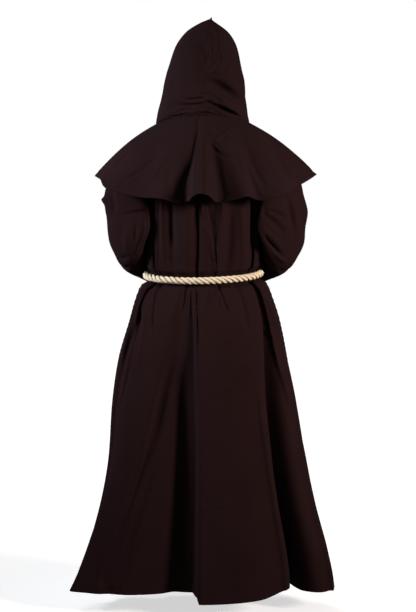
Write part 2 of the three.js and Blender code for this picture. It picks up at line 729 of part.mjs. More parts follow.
const rightArmhole = (side) => -armholeAngle(side);
const frontFrom = (side) => 180 - armholeAngle(side);
const frontTo = (side) => 180 + armholeAngle(side);
const closerAtSeam = (u) => u ** 1.35;
addPiece('robe_back_left', robePanel(seamLine, armholeAngle, 18, closerAtSeam), clothMaterial());
addPiece('robe_back_right', robePanel(rightArmhole, seamLine, 19), clothMaterial());
addPiece('robe_front', robePanel(frontFrom, frontTo, 28), clothMaterial());
addPiece('sleeve_left', sleeve(1), clothMaterial());
addPiece('sleeve_right', sleeve(-1), clothMaterial());
addPiece('cape_left', capeHalf(1), clothMaterial());
addPiece('cape_right', capeHalf(-1), clothMaterial());
addPiece('hood_left', hoodHalf(1), clothMaterial());
addPiece('hood_right', hoodHalf(-1), clothMaterial());
addPiece('belt_rope', beltRope(), ropeMaterial());
addPiece('belt_knot', knot(knotSize, 0), ropeMaterial()).position.copy(beltKnotCentre);
addPiece('belt_tail_left', beltTail(1, 440, 37.2), ropeMaterial());
addPiece('belt_tail_right', beltTail(-1, 400, 38), ropeMaterial());

export default costume;
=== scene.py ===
import math

import bpy
import numpy as np
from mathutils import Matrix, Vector


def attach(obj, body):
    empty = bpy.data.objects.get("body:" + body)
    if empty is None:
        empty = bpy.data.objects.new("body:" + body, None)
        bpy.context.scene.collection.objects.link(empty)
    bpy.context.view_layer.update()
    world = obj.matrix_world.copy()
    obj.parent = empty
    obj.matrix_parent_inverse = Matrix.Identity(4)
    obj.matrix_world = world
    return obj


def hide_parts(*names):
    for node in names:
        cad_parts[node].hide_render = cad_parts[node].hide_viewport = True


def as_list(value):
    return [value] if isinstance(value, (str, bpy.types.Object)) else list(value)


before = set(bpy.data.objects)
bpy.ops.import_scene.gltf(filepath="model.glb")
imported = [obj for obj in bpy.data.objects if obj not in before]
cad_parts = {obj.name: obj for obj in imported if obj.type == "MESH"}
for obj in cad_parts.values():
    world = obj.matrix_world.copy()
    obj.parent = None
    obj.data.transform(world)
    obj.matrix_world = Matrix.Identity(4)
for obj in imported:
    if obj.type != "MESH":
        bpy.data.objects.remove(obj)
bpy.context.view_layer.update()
scene = bpy.context.scene
print("frame loaded")

# The photo looks at the costume's back: +Y is towards the camera and the wearer's left is at +X
view = {
    "eye": (-0.0126, 5.0, -0.397),
    "pitch": 2.06,  # degrees below level
    "lens": 93.5,
}
cameraData = bpy.data.cameras.new("camera")
cameraData.lens = view["lens"]
camera = bpy.data.objects.new("camera", cameraData)
camera.location = view["eye"]
camera.rotation_euler = (math.radians(90 - view["pitch"]), 0, math.radians(180))
scene.collection.objects.link(camera)
scene.camera = camera

# Tables are in millimetres and degrees, as a cutter's are, and every mesh is made in metres
mm = 0.001


def hermite(a, b, slopeA, slopeB, t, span):
    # The cubic from a to b that leaves and arrives with the given slopes
    ends = a * (1 + 2 * t) * (1 - t) ** 2 + b * t * t * (3 - 2 * t)
    return ends + span * (slopeA * t * (1 - t) ** 2 + slopeB * t * t * (t - 1))


def smoothCurve(places, values):
    # Cubic pieces through the rows, each slope the harmonic mean of its neighbours, so nothing overshoots
    order = np.argsort(places)
    x, y = np.asarray(places, float)[order], np.asarray(values, float)[order]
    step = np.diff(y) / np.diff(x)
    product = step[:-1] * step[1:]
    total = np.where(product > 0, step[:-1] + step[1:], 1)
    slope = np.concatenate([step[:1], np.where(product > 0, 2 * product / total, 0), step[-1:]])

    def curve(at):
        at = np.clip(at, x[0], x[-1])
        i = np.clip(np.searchsorted(x, at, side="right") - 1, 0, len(x) - 2)
        span = x[i + 1] - x[i]
        return hermite(y[i], y[i + 1], slope[i], slope[i + 1], (at - x[i]) / span, span)

    return curve


def curvesOf(names, rows):
    # Every column of a table as a smooth curve by its first column
    columns = np.array(rows, float).T
    return {name: smoothCurve(columns[0], column) for name, column in zip(names.split(), columns)}


def tableOf(names, rows):
    # Every row of a table as a dictionary by the columns' names
    return [dict(zip(names.split(), row)) for row in rows]


def lerp(a, b, share):
    # That share of the way from a to b
    return a + (b - a) * share


def clamp01(x):
    # Held between 0 and 1
    return np.clip(x, 0, 1)


def smoothStep(x):
    # Three times the square less twice the cube, from 0 to 1
    x = clamp01(x)
    return x * x * (3 - 2 * x)


def bell(x):
    # e to the power of minus the square
    return np.exp(-x * x)


def wrapDegrees(angle):
    # The same direction, from -180 up to 180
    return (angle + 180) % 360 - 180


def oneSided(away, left, right):
    # A bell with a width of its own to either side
    return bell(away / np.where(away > 0, left, right))


def unit(v):
    # Each arrow over its own length
    return v / np.maximum(np.linalg.norm(v, axis=-1, keepdims=True), 1e-9)


def xyz(x, y, z):
    # Three arrays as one array of points
    return np.stack(np.broadcast_arrays(x, y, z), axis=-1)


# Sizes shared by the costume's pieces
hemHeight = -1468
waistHeight = -476
underarmHeight = -200
shoulderTipHeight = -31
waistDip = 19
waistTilt = 4
capeLength = 283
ropeRadius = 11
ropePitch = 54
ropeClearance = 1

robeRings = curvesOf(
    "side halfWidth back front backRise frontRise boxiness centre",
    [
        [-13, 104, 72, 78, 12, -26, 2, 2],
        [-22, 140, 82, 86, 4, -24, 2, 2],
        [-31, 170, 94, 94, -8, -24, 2.1, 1],
        [-70, 181, 106, 104, -8, -18, 2.2, 0],
        [-130, 183, 118, 116, -4, -8, 2.2, 0],
        [-200, 180, 124, 123, 0, 0, 2.2, 0],
        [-300, 183, 124, 122, 0, 0, 2.2, 0],
        [-400, 182, 122, 118, 0, 0, 2.2, 0],
        [-446, 180, 122, 116, 0, 0, 2.1, 1],
        [-464, 167, 111, 104, 0, 0, 2, 2],
        [-488, 168, 112, 105, 0, 0, 2, 2],
        [-507, 197, 134, 122, 0, 0, 2, 1],
        [-554, 217, 150, 132, 0, 0, 2.1, 0],
        [-617, 236, 162, 140, 0, 0, 2.2, -2],
        [-743, 267, 174, 152, 0, 0, 2.3, 2],
        [-869, 287, 180, 163, 0, 0, 2.4, -1],
        [-1058, 306, 183, 180, 0, 0, 2.5, -10],
        [-1184, 329, 185, 193, 0, 0, 2.5, -12],
        [-1310, 362, 187, 206, 0, 0, 2.5, -12],
        [-1410, 388, 189, 214, 0, 0, 2.5, -9],
        [-1468, 403, 190, 218, 0, 0, 2.5, -2],
    ],
)

seamLine = curvesOf(
    "side angle",
    [
        [-13, 6], [-300, 5.6], [-446, 5.8], [-488, 7.9], [-617, 5.7],
        [-743, 3.4], [-869, 3.2], [-1058, 4.3], [-1184, 4.5], [-1310, 4.3],
        [-1468, 2.9],
    ],
)["angle"]

robeForm = {
    "foldFade": 60,  # the body's folds grow in from this far above the underarm to as far below it
    "beltPinch": 0.75,  # how much of the folds the belt flattens
    "pinchReach": 22,
    "dipReach": 150,  # how far above and below the belt the cloth dips with it
    "sideways": 0.6,  # behind, a fold pushes this much of its angle sideways
    "hemPower": 4,  # how late the hem's rise sets in
}

# The skirt's folds: angles at the belt, knee and hem, widths to each side, and depths (inwards if negative)
kneeShare = 0.45
skirtFolds = tableOf(
    "name belt knee hem left right beltDepth hemDepth growth",
    [
        ["back seam", 3.6, 3.6, 3.7, 25, 2.3, -9, -88, 1],
        ["left back drag", 14, 29, 45, 3.5, 7, 0, -15, 0.6],
        ["left back corner", 74, 74, 74, 14, 12, 0, 36, 2.2],
        ["left hip", 56, 70, 86, 4, 7, -11, -14, 1],
        ["right sweep", -34, -36, -38, 13, 20, 0, -38, 2.4],
        ["right fold", -56, -43, -45, 2.5, 7, -13, -98, 0.75],
        ["right ridge", -63, -72, -76, 4, 6, 6, 14, 1],
        ["right pocket", -74, -88, -99, 6, 7, -14, -20, 1],
        ["left side", 101, 104, 106, 7, 6, -10, -44, 1],
        ["left front", 128, 126, 124, 8, 6, -8, -58, 1],
        ["left front ridge", 141, 140, 139, 8, 9, 5, 16, 1],
        ["left centre", 157, 155, 154, 5, 7, -6, -42, 1.1],
        ["right centre", -158, -157, -157, 7, 5, -6, -40, 1.1],
        ["right front ridge", -142, -143, -143, 8, 8, 5, 18, 1],
        ["right front", -126, -127, -127, 6, 8, -9, -60, 1],
        ["right side", -104, -109, -113, 6, 7, -9, -32, 1],
    ],
)
for fold in skirtFolds:
    fold["angle"] = smoothCurve([0, kneeShare, 1], [fold["belt"], fold["knee"], fold["hem"]])

# The body's folds between the cape and the belt
bodyFolds = tableOf(
    "name waist chest left right depth",
    [
        ["back seam", 9, 8, 5, 2.6, -9],
        ["left back", 33, 34, 5, 6, -8],
        ["left back ridge", 46, 47, 3, 3, 4],
        ["left edge", 58, 57, 4, 3, -7],
        ["right of seam", -8, -10, 4, 3.5, -6],
        ["right back", -20, -31, 5, 6, -5],
        ["right edge", -53, -54, 3, 3.5, -11],
        ["left front", 128, 134, 6, 6, -8],
        ["left centre", 158, 162, 5, 5, -6],
        ["right centre", -155, -160, 5, 6, -7],
        ["right front", -130, -135, 6, 6, -8],
    ],
)

hemRise = curvesOf(
    "angle rise",
    [
        [-180, -4], [-90, 0], [-52, 4], [-45, 30], [-38, 17],
        [-24, -6], [2.4, -15], [3.6, 5], [70, 5], [90, 0],
        [180, -4],
    ],
)["rise"]


def robePush(degrees, side):
    # Sum of the folds: each a bell across its line, with its own width on either side
    share = clamp01((waistHeight - side) / (waistHeight - hemHeight))
    skirt = 0
    for fold in skirtFolds:
        start = seamLine(side) if fold["name"] == "back seam" else 0
        away = wrapDegrees(degrees - start - fold["angle"](share))
        depth = lerp(fold["beltDepth"], fold["hemDepth"], share ** fold["growth"])
        skirt = skirt + depth * oneSided(away, fold["left"], fold["right"])
    fade = clamp01((side - underarmHeight - robeForm["foldFade"]) / (-2 * robeForm["foldFade"]))
    rise = clamp01((waistHeight - side) / (waistHeight - underarmHeight))
    body = 0
    for fold in bodyFolds:
        away = wrapDegrees(degrees - lerp(fold["waist"], fold["chest"], rise))
        body = body + fade * fold["depth"] * oneSided(away, fold["left"], fold["right"])
    return np.where(side < waistHeight, skirt, body)


def robePoint(degrees, side):
    # A rounded box ring whose sizes come from its height, pushed in and out by the folds
    degrees, side = np.broadcast_arrays(np.asarray(degrees, float), np.asarray(side, float))
    degrees = wrapDegrees(degrees)
    angle = np.radians(degrees)
    sin, cos = np.sin(angle), np.cos(angle)
    box = robeRings["boxiness"](side)
    ring = (np.abs(sin) ** box + np.abs(cos) ** box) ** (-1 / box)
    depth = np.where(cos > 0, robeRings["back"](side), robeRings["front"](side))
    rise = np.where(cos > 0, robeRings["backRise"](side), robeRings["frontRise"](side))
    pinch = robeForm["beltPinch"] * bell((side - waistHeight) / robeForm["pinchReach"])
    push = robePush(degrees, side) * (1 - pinch)
    way = angle * lerp(robeForm["sideways"], 1, clamp01((np.abs(degrees) - 90) / 90))
    beltRise = bell((side - waistHeight) / robeForm["dipReach"]) * (-waistDip * cos - waistTilt * sin)
    hemShare = clamp01((waistHeight - side) / (waistHeight - hemHeight)) ** robeForm["hemPower"]
    return xyz(
        robeRings["centre"](side) + robeRings["halfWidth"](side) * ring * sin + push * np.sin(way),
        depth * ring * cos + push * np.cos(way),
        side + rise * cos * cos + beltRise + hemShare * hemRise(degrees),
    )


armholeOpening = curvesOf(
    "side opening",
    [
        [shoulderTipHeight, 0], [-52, 19], [-80, 28], [-130, 31], [-175, 20], [underarmHeight, 0],
    ],
)["opening"]


def armholeAngle(side):
    # The back panel's edge: the side seam, drawn back by the armhole's opening where there is one
    inside = (side <= shoulderTipHeight) & (side >= underarmHeight)
    return np.where(inside, 90 - armholeOpening(side), 90)


sleeveStations = curvesOf(
    "at x y z goX goY goZ out in under over wider",
    [
        [0, 196, 0, -118, 0.95, 0, -0.3, 76, 78, 62, 62, 0],
        [1, 224, 2, -160, 0.66, 0, -0.75, 62, 47, 78, 72, 0],
        [2, 247, 6, -225, 0.18, 0, -0.98, 62, 60, 84, 80, 2],
        [3, 250, 10, -285, 0, 0, -1, 56, 65, 86, 78, 20],
        [4, 249, 8, -335, 0, -0.22, -0.97, 54, 63, 88, 70, 15],
        [5, 245, -8, -372, -0.08, -0.62, -0.78, 53, 58, 86, 60, 18],
        [6, 234, -46, -392, -0.28, -0.9, -0.34, 54, 50, 80, 58, 16],
        [7, 208, -100, -400, -0.5, -0.86, -0.1, 52, 46, 87, 58, 13],
        [8, 168, -152, -402, -0.7, -0.71, 0, 49, 43, 109, 59, 8],
        [9, 116, -194, -400, -0.82, -0.57, 0, 47, 41, 134, 60, 4],
        [10, 60, -228, -396, -0.9, -0.44, 0, 48, 41, 162, 62, 0],
    ],
)
lastStation = 10
sleeveForm = {
    "elbow": 5,  # the station where the forearm's own down takes over from the upper arm's
    "widerUnder": 0.5,  # how much of the right sleeve's extra width is below the arm
    "lean": -0.0094,
    "leanAt": 3.2,
    "headGap": 0.5,
    "headReach": 34,
}

sleeveFolds = tableOf(
    "name at around along across drift depth",
    [
        ["crook", 4.2, 215, 0.5, 60, 0, -13],
        ["upper crook", 3.3, 235, 0.35, 40, 0, -9],
        ["inner elbow", 4.3, -55, 0.4, 34, 40, -9],
        ["inner upper", 3, -40, 0.4, 30, 36, -8],
        ["outer elbow", 5.6, 70, 0.5, 30, -20, -5],
        ["forearm upper", 7.4, 140, 0.6, 40, 20, -9],
        ["forearm lower", 8.2, 40, 0.7, 26, -14, -12],
        ["cuff front", 9.6, 62, 1.2, 15, -8, -14],
        ["cuff back", 9.6, -50, 1.1, 16, 8, -9],
        ["forearm back", 7.2, -60, 0.6, 30, 12, -8],
    ],
)
armholeRows = [shoulderTipHeight, -50, -80, -125, -168, underarmHeight]


def sleevePoint(turn, at, hand):
    # A ring of four reaches across the arm's own direction, blended at the head into the armhole's edge
    turn, at = np.broadcast_arrays(turn, at)
    angle = hand * turn
    station = {name: curve(at) for name, curve in sleeveStations.items()}
    along = unit(xyz(station["goX"], station["goY"], station["goZ"]))
    level = np.hypot(along[..., 0], along[..., 1])
    elbowWay = xyz(0 * at, -along[..., 2], along[..., 1])
    forearm = (clamp01((at - sleeveForm["elbow"]) / 2) * level)[..., None]
    elbowWay = elbowWay * (1 - forearm) + np.array([0, 0, -1]) * forearm
    elbowWay = unit(elbowWay - along * np.sum(elbowWay * along, axis=-1, keepdims=True))
    outWay = np.cross(along, elbowWay)
    sin, cos = np.sin(angle), np.cos(angle)
    degrees = np.degrees(angle)
    push = 0
    for fold in sleeveFolds:
        run = at - fold["at"]
        away = wrapDegrees(degrees - fold["around"] - fold["drift"] * run)
        push = push + fold["depth"] * bell(run / fold["along"]) * bell(away / fold["across"])
    out = station["out"] + (station["wider"] if hand < 0 else 0)
    across = (np.where(sin > 0, out, station["in"]) + push) * sin
    under = station["under"] + (station["wider"] * sleeveForm["widerUnder"] if hand < 0 else 0)
    deep = (np.where(cos > 0, under, station["over"]) + push) * cos
    lean = sleeveForm["lean"] * (station["under"] * np.maximum(cos, 0)) ** 2
    lean = lean * bell((at - sleeveForm["leanAt"]) / 2)
    point = xyz(station["x"], station["y"], station["z"])
    point = point + outWay * (across + lean)[..., None] + elbowWay * deep[..., None]
    point[..., 0] *= hand
    # The head follows the armhole, straight out along X at first
    place = np.abs(wrapDegrees(degrees - 90)) / 180 * (len(armholeRows) - 1)
    side = np.interp(place, np.arange(len(armholeRows)), armholeRows)
    around = np.where(cos > 0, armholeAngle(side), 180 - armholeAngle(side))
    edge = robePoint(hand * around, side)
    share = clamp01(at)
    edge[..., 0] += hand * (sleeveForm["headGap"] + sleeveForm["headReach"] * share)
    return lerp(edge, point, smoothStep(share)[..., None])


neckSeamAngle = 6.5
neckRing = {"halfWidth": 137, "back": 95, "front": 102, "height": -5, "backLift": 16, "frontLift": -52}


def neckSeam(angle):
    # A ring of three reaches that rises to the centre back and falls to the centre front
    sin, cos = np.sin(angle), np.cos(angle)
    behind = neckRing["backLift"] * np.maximum(cos, 0) ** 0.7
    before = neckRing["frontLift"] * np.maximum(-cos, 0) ** 1.5
    deep = np.where(cos > 0, neckRing["back"], neckRing["front"])
    height = np.where(cos > 0, behind, before) + neckRing["height"]
    return xyz(neckRing["halfWidth"] * sin, deep * cos, height)


capeSlopes = curvesOf(
    "angle neck middle hem",
    [
        [0, 46, 82, 86], [30, 42, 76, 84], [58, 32, 58, 70],
        [90, 24, 41, 51], [122, 30, 56, 70], [150, 42, 73, 82],
        [180, 52, 78, 84],
    ],
)
capeHem = curvesOf(
    "angle extra",
    [
        [-180, 0], [-145, -2], [-116, -18], [-100, -24], [-84, -10], [-70, -8],
        [-60, 4], [-51, 8], [-46, 11], [-41, 2], [-32, -6], [-24, -1],
        [-10, 0], [16, -2], [23, 5], [31, 0], [38, -1], [47, 1],
        [57, 7], [66, 9], [75, -12], [86, -16], [100, -24], [116, -16],
        [145, -2], [180, 0],
    ],
)
capeForm = {
    "steps": 12,
    "hemFrom": 120,  # how far down the cloth the hem's extra length sets in
    "swell": 0.8,  # the power of the way down by which a flute opens
    "broadFrom": 0.3,  # the flute at the centre back is broad where it opens
    "broadOver": 0.6,
    "broadness": 3,
}
capeFlutes = tableOf(
    "name neck hem left right lift",
    [
        ["centre back flute", 1, 2, 7.5, 7.2, 25],
        ["valley left of it", 7, 17.5, 9, 4, -10],
        ["valley right of it", -7, -13, 4, 10, -7],
        ["left back ridge", 30, 34, 9, 9, 4],
        ["left back valley", 42, 54, 5, 8, -6],
        ["left shoulder ridge", 66, 68, 9, 9, 4],
        ["right back ridge", -28, -33, 7, 7, 7],
        ["right back valley", -36, -46, 6, 5, -6],
        ["right shoulder valley", -64, -70, 5, 6, -6],
        ["right shoulder flute", -82, -86, 8, 9, 5],
        ["left front valley", 112, 110, 8, 8, -6],
        ["left front flute", 134, 133, 9, 9, 10],
        ["left centre valley", 158, 157, 8, 8, -5],
        ["right centre valley", -158, -155, 8, 8, -5],
        ["right front flute", -132, -131, 9, 9, 11],
        ["right front valley", -110, -109, 8, 8, -6],
    ],
)


def capePoint(degrees, distance):
    # From the neck seam down the cloth, the slope added up in short steps, so each line keeps its length
    degrees, distance = np.broadcast_arrays(degrees, distance)
    below = (distance - capeForm["hemFrom"]) / (capeLength - capeForm["hemFrom"])
    distance = distance + capeHem["extra"](degrees) * smoothStep(below)
    turn = np.abs(wrapDegrees(degrees))
    neck, middle, hem = (capeSlopes[name](turn) for name in ("neck", "middle", "hem"))
    steps = capeForm["steps"]
    reach = fall = 0
    for i in range(steps):
        share = (i + 0.5) / steps * distance / capeLength
        lift = 0
        for flute in capeFlutes:
            away = wrapDegrees(degrees - lerp(flute["neck"], flute["hem"], share))
            shape = oneSided(away, flute["left"], flute["right"])
            if flute is capeFlutes[0]:
                broad = smoothStep((share - capeForm["broadFrom"]) / capeForm["broadOver"])
                shape = lerp(shape, 1 - (1 - shape) ** capeForm["broadness"], broad)
            lift = lift + flute["lift"] * share ** capeForm["swell"] * shape
        base = np.where(share < 0.5, lerp(neck, middle, share * 2), lerp(middle, hem, share * 2 - 1))
        slope = np.radians(base - lift)
        reach = reach + np.cos(slope) * distance / steps
        fall = fall + np.sin(slope) * distance / steps
    angle = np.radians(degrees)
    return neckSeam(angle) + xyz(np.sin(angle) * reach, np.cos(angle) * reach, -fall)


hoodRings = curvesOf(
    "share halfWidth back front backZ faceZ face centre seam",
    [
        [0, 137, 95, 102, 11, -57, 180, 0, neckSeamAngle],
        [0.06, 147, 101, 113, 22, -38, 163, 4, 4],
        [0.15, 143, 108, 124, 46, 0, 143, 4, 2],
        [0.3, 132, 112, 130, 92, 60, 130, 2, 0.2],
        [0.45, 123, 114, 132, 142, 120, 126, -1, -3.5],
        [0.6, 111, 111, 132, 192, 178, 127, -4, -19],
        [0.75, 96, 100, 130, 242, 232, 133, -7, -22],
        [0.87, 72, 84, 124, 284, 265, 146, -9, -23],
        [0.95, 40, 64, 117, 306, 278, 163, -13, -20],
        [1, -0.4, 46, 112, 318, 283, 179, -23, 0],
    ],
)
hoodFolds = tableOf(
    "name share angle along left right rise depth",
    [
        ["right slump", 0.31, -30, 0.05, 24, 36, -0.0027, -15],
        ["right roll over it", 0.41, -36, 0.07, 24, 34, -0.0027, 8],
        ["right neck fold", 0.12, -36, 0.035, 24, 30, -0.002, -12],
        ["back neck pucker", 0.15, 12, 0.04, 30, 22, 0, -8],
        ["back of the head", 0.56, 22, 0.22, 40, 20, 0, 7],
        ["above the head", 0.84, 16, 0.05, 45, 22, 0, -9],
        ["beside the head", 0.66, -8, 0.17, 7, 10, 0, -10],
        ["falling ridge", 0.72, -22, 0.17, 8, 16, 0, 6],
    ],
)


hoodForm = {"settle": 0.06, "neckGap": 0.3}  # the lowest share, which joins the neck seam, and its gap


def hoodPoint(degrees, share):
    # A ring that leans forward from the centre back to the face opening, settled onto the neck seam below
    degrees, share = np.broadcast_arrays(degrees, share)
    ring = {name: curve(share) for name, curve in hoodRings.items()}
    angle = np.radians(degrees)
    cos = np.cos(angle)
    push = 0
    for fold in hoodFolds:
        away = wrapDegrees(degrees - fold["angle"])
        run = share - fold["share"] + fold["rise"] * away
        across = oneSided(away, fold["left"], fold["right"])
        push = push + fold["depth"] * bell(run / fold["along"]) * across
    middle = (ring["back"] - ring["front"]) / 2
    half = (ring["back"] + ring["front"]) / 2
    forward = clamp01((1 - cos) / (1 - np.cos(np.radians(ring["face"]))))
    point = xyz(
        ring["centre"] + (ring["halfWidth"] + push) * np.sin(angle),
        middle + (half + push) * cos,
        lerp(ring["backZ"], ring["faceZ"], forward),
    )
    settle = clamp01(share / hoodForm["settle"])[..., None]
    atNeck = neckSeam(angle) + np.array([0, 0, hoodForm["neckGap"]])
    return lerp(atNeck, point, settle * (2 - settle))


def smoothPath(points, count):
    # A smooth line through the points, timed by the root of each step's length, then spaced evenly
    points = np.asarray(points, float)
    steps = np.sqrt(np.linalg.norm(np.diff(points, axis=0), axis=1))
    time = np.concatenate([[0], np.cumsum(steps)])
    slopes = np.gradient(points, time, axis=0)
    fine = np.linspace(0, time[-1], 8 * len(points) + 200)
    i = np.clip(np.searchsorted(time, fine, side="right") - 1, 0, len(time) - 2)
    span = (time[i + 1] - time[i])[:, None]
    t = (fine - time[i])[:, None] / span
    line = hermite(points[i], points[i + 1], slopes[i], slopes[i + 1], t, span)
    run = np.concatenate([[0], np.cumsum(np.linalg.norm(np.diff(line, axis=0), axis=1))])
    at = np.linspace(0, run[-1], count)
    return np.stack([np.interp(at, run, line[:, k]) for k in range(3)], axis=1), run[-1]


creaseForm = {
    "reach": 3,  # in widths
    "taper": 0.35,  # the share of its length over which a crease swells or fades
    "points": 14,
    "straightPoints": 9,
}


def creaseDepth(points, normals, creases):
    # Each crease is a line on the cloth: a bell of its distance, with its own width to the left and right,
    # that swells from its first strength and fades to its last
    total = np.zeros(points.shape[:-1])
    flat, up, sums = points.reshape(-1, 3), normals.reshape(-1, 3), total.reshape(-1)
    for crease in creases:
        line = crease["line"]
        middle = line.mean(axis=0)
        widest = max(crease["left"], crease["right"])
        far = np.linalg.norm(line - middle, axis=1).max() + creaseForm["reach"] * widest
        near = np.flatnonzero(np.linalg.norm(flat - middle, axis=1) < far)
        if not len(near):
            continue
        p, start, run = flat[near][:, None], line[None, :-1], np.diff(line, axis=0)[None]
        along = clamp01(np.sum((p - start) * run, axis=2) / np.sum(run * run, axis=2))
        away = p - start - run * along[..., None]
        distance = np.linalg.norm(away, axis=2)
        best = np.argmin(distance, axis=1)
        rows = np.arange(len(near))
        lengths = np.linalg.norm(run[0], axis=1)
        before = np.concatenate([[0], np.cumsum(lengths)])[best]
        place = (before + along[rows, best] * lengths[best]) / lengths.sum()
        turn = np.sum(np.cross(run[0][best], away[rows, best]) * up[near], axis=1)
        width = np.where(turn > 0, crease["left"], crease["right"])
        strength = lerp(crease["start"], 1, smoothStep(place / creaseForm["taper"]))
        strength *= lerp(crease["end"], 1, smoothStep((1 - place) / creaseForm["taper"]))
        sums[near] += crease["depth"] * strength * bell(distance[rows, best] / width)
    return sums.reshape(total.shape)


def creasesOn(form, strength, rows):
    # Lines through listed points of the form's two measures, all deepened by one strength
    creases = tableOf("path left right depth start end", rows)
    for crease in creases:
        crease["depth"] *= strength
        path = np.array(crease["path"], float)
        if len(path) > 2:
            share = np.linspace(0, 1, len(path))
            fine = np.linspace(0, 1, creaseForm["points"])
            path = np.stack([smoothCurve(share, path[:, k])(fine) for k in (0, 1)], axis=1)
        else:
            path = lerp(path[:1], path[1:], np.linspace(0, 1, creaseForm["straightPoints"])[:, None])
        crease["line"] = form(path[:, 0], path[:, 1])
    return creases


def stepsAlong(points, axis=0, closed=False):
    # Half the way from the point before to the point after, over the join where the line is closed
    if not closed:
        return np.gradient(points, axis=axis)
    first, last = np.take(points, [0], axis), np.take(points, [-1], axis)
    steps = np.gradient(np.concatenate([last, points, first], axis), axis=axis)
    return np.take(steps, np.arange(points.shape[axis]) + 1, axis)


def gridNormals(grid, looped=False):
    # Across the columns times down the rows, which points out of the cloth
    return unit(np.cross(stepsAlong(grid, 1, looped), stepsAlong(grid)))


def quadsOf(*corners):
    # Four arrays of point numbers as four-sided faces
    return np.stack(corners, axis=-1).reshape(-1, 4)


def cellCorners(index):
    # The corners of every cell of a grid of point numbers, in order round it
    return index[:-1, :-1], index[:-1, 1:], index[1:, 1:], index[1:, :-1]


def rim(start, end, back):
    # The strip from a wall's outer edge to its inner one, whose points come back numbers later
    return quadsOf(start + back, end + back, end, start)


def joined(*runs):
    # Rows or columns in stretches: (from, to, about this step)
    parts = [np.linspace(a, b, max(1, round(abs(b - a) / step)) + 1)[:-1] for a, b, step in runs]
    return np.concatenate([*parts, [runs[-1][1]]])


print("shapes ready")


def makeMesh(name, points, quads, triangles=None, flat=None):
    # Points in millimetres; flat is each point's place on the cut cloth, in metres
    corners = np.asarray(quads, np.int32).reshape(-1)
    starts = np.arange(len(quads)) * 4
    if triangles is not None:
        starts = np.concatenate([starts, len(corners) + np.arange(len(triangles)) * 3])
        corners = np.concatenate([corners, np.asarray(triangles, np.int32).reshape(-1)])
    mesh = bpy.data.meshes.new(name)
    mesh.vertices.add(len(points))
    mesh.vertices.foreach_set("co", (np.asarray(points) * mm).astype(np.float32).ravel())
    mesh.loops.add(len(corners))
    mesh.loops.foreach_set("vertex_index", corners.astype(np.int32))
    mesh.polygons.add(len(starts))
    mesh.polygons.foreach_set("loop_start", starts.astype(np.int32))
    mesh.polygons.foreach_set("use_smooth", np.ones(len(starts), bool))
    if flat is not None:
        layer = mesh.uv_layers.new(name="flat")
        layer.data.foreach_set("uv", np.asarray(flat)[corners].astype(np.float32).ravel())
    mesh.update(calc_edges=True)
    mesh.validate()
    piece = bpy.data.objects.new(name, mesh)
    scene.collection.objects.link(piece)
    return piece


finishing = {
    "thickness": 1.4,
    "seamGroove": 1.3,
    "seamGrooveWidth": 1.9,
    "pucker": 0.8,
    "puckerFrom": 4,
    "puckerWidth": 7,
    "puckerWave": (17, (2.1, 61), (1.3, 23)),  # length, then the drifts' heights and lengths
    "hemDepth": 14,  # the turned-up cloth, where it is twice as thick
    "hemGroove": 0.5,
    "hemGrooveWidth": 1.4,
    "hemRipple": 0.35,
    "hemRippleWidth": 11,
    "hemWave": (23, (1.7, 47), (1.9, 31)),
}


def unevenWave(run, length, *drifts):
    # A sine along the run whose phase drifts with slower sines, so that no two waves are alike
    phase = 2 * math.pi * run / length
    for height, slow in drifts:
        phase = phase + height * np.sin(run / slow)
    return np.sin(phase)


def edgeDistances(across, down):
    # How far each point is from each of the cloth's edges
    return {"left": across, "right": across[:, -1:] - across, "top": down, "bottom": down[-1:] - down}


def edgeFinish(across, down, seams, hems):
    # A seam sinks into a groove and puckers the cloth beside it, and a hem's stitches draw in a line
    distances = edgeDistances(across, down)
    runs = {"left": down, "right": down, "top": across, "bottom": across}
    rise = np.zeros(across.shape)
    for side in seams:
        rise -= finishing["seamGroove"] * bell(distances[side] / finishing["seamGrooveWidth"])
        beside = bell((distances[side] - finishing["puckerFrom"]) / finishing["puckerWidth"])
        rise += finishing["pucker"] * unevenWave(runs[side], *finishing["puckerWave"]) * beside
    for side in hems:
        above = distances[side] - finishing["hemDepth"]
        rise -= finishing["hemGroove"] * bell(above / finishing["hemGrooveWidth"])
        wave = unevenWave(runs[side], *finishing["hemWave"])
        rise += finishing["hemRipple"] * wave * bell(above / finishing["hemRippleWidth"])
    return rise


def flatPlaces(grid):
    # How far each point is along its row and down its column, on the cloth
    across = np.linalg.norm(np.diff(grid, axis=1, prepend=grid[:, :1]), axis=2).cumsum(axis=1)
    down = np.linalg.norm(np.diff(grid, axis=0, prepend=grid[:1]), axis=2).cumsum(axis=0)
    return across, down


def fitPiece(piece, material, slot, node=None):
    # What it is made of, what carries it and what it stands for
    piece.data.materials.append(material)
    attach(piece, "root")
    if node:
        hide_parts(node)
    return piece


stitching = {
    "length": 2.7,
    "every": 4,
    "radius": 0.3,
    "ends": 0.4,  # a stitch's radius at its ends over its middle's
    "raised": 0.9,  # in its own radius
    "sunk": 0.1,
    "first": 2,
}


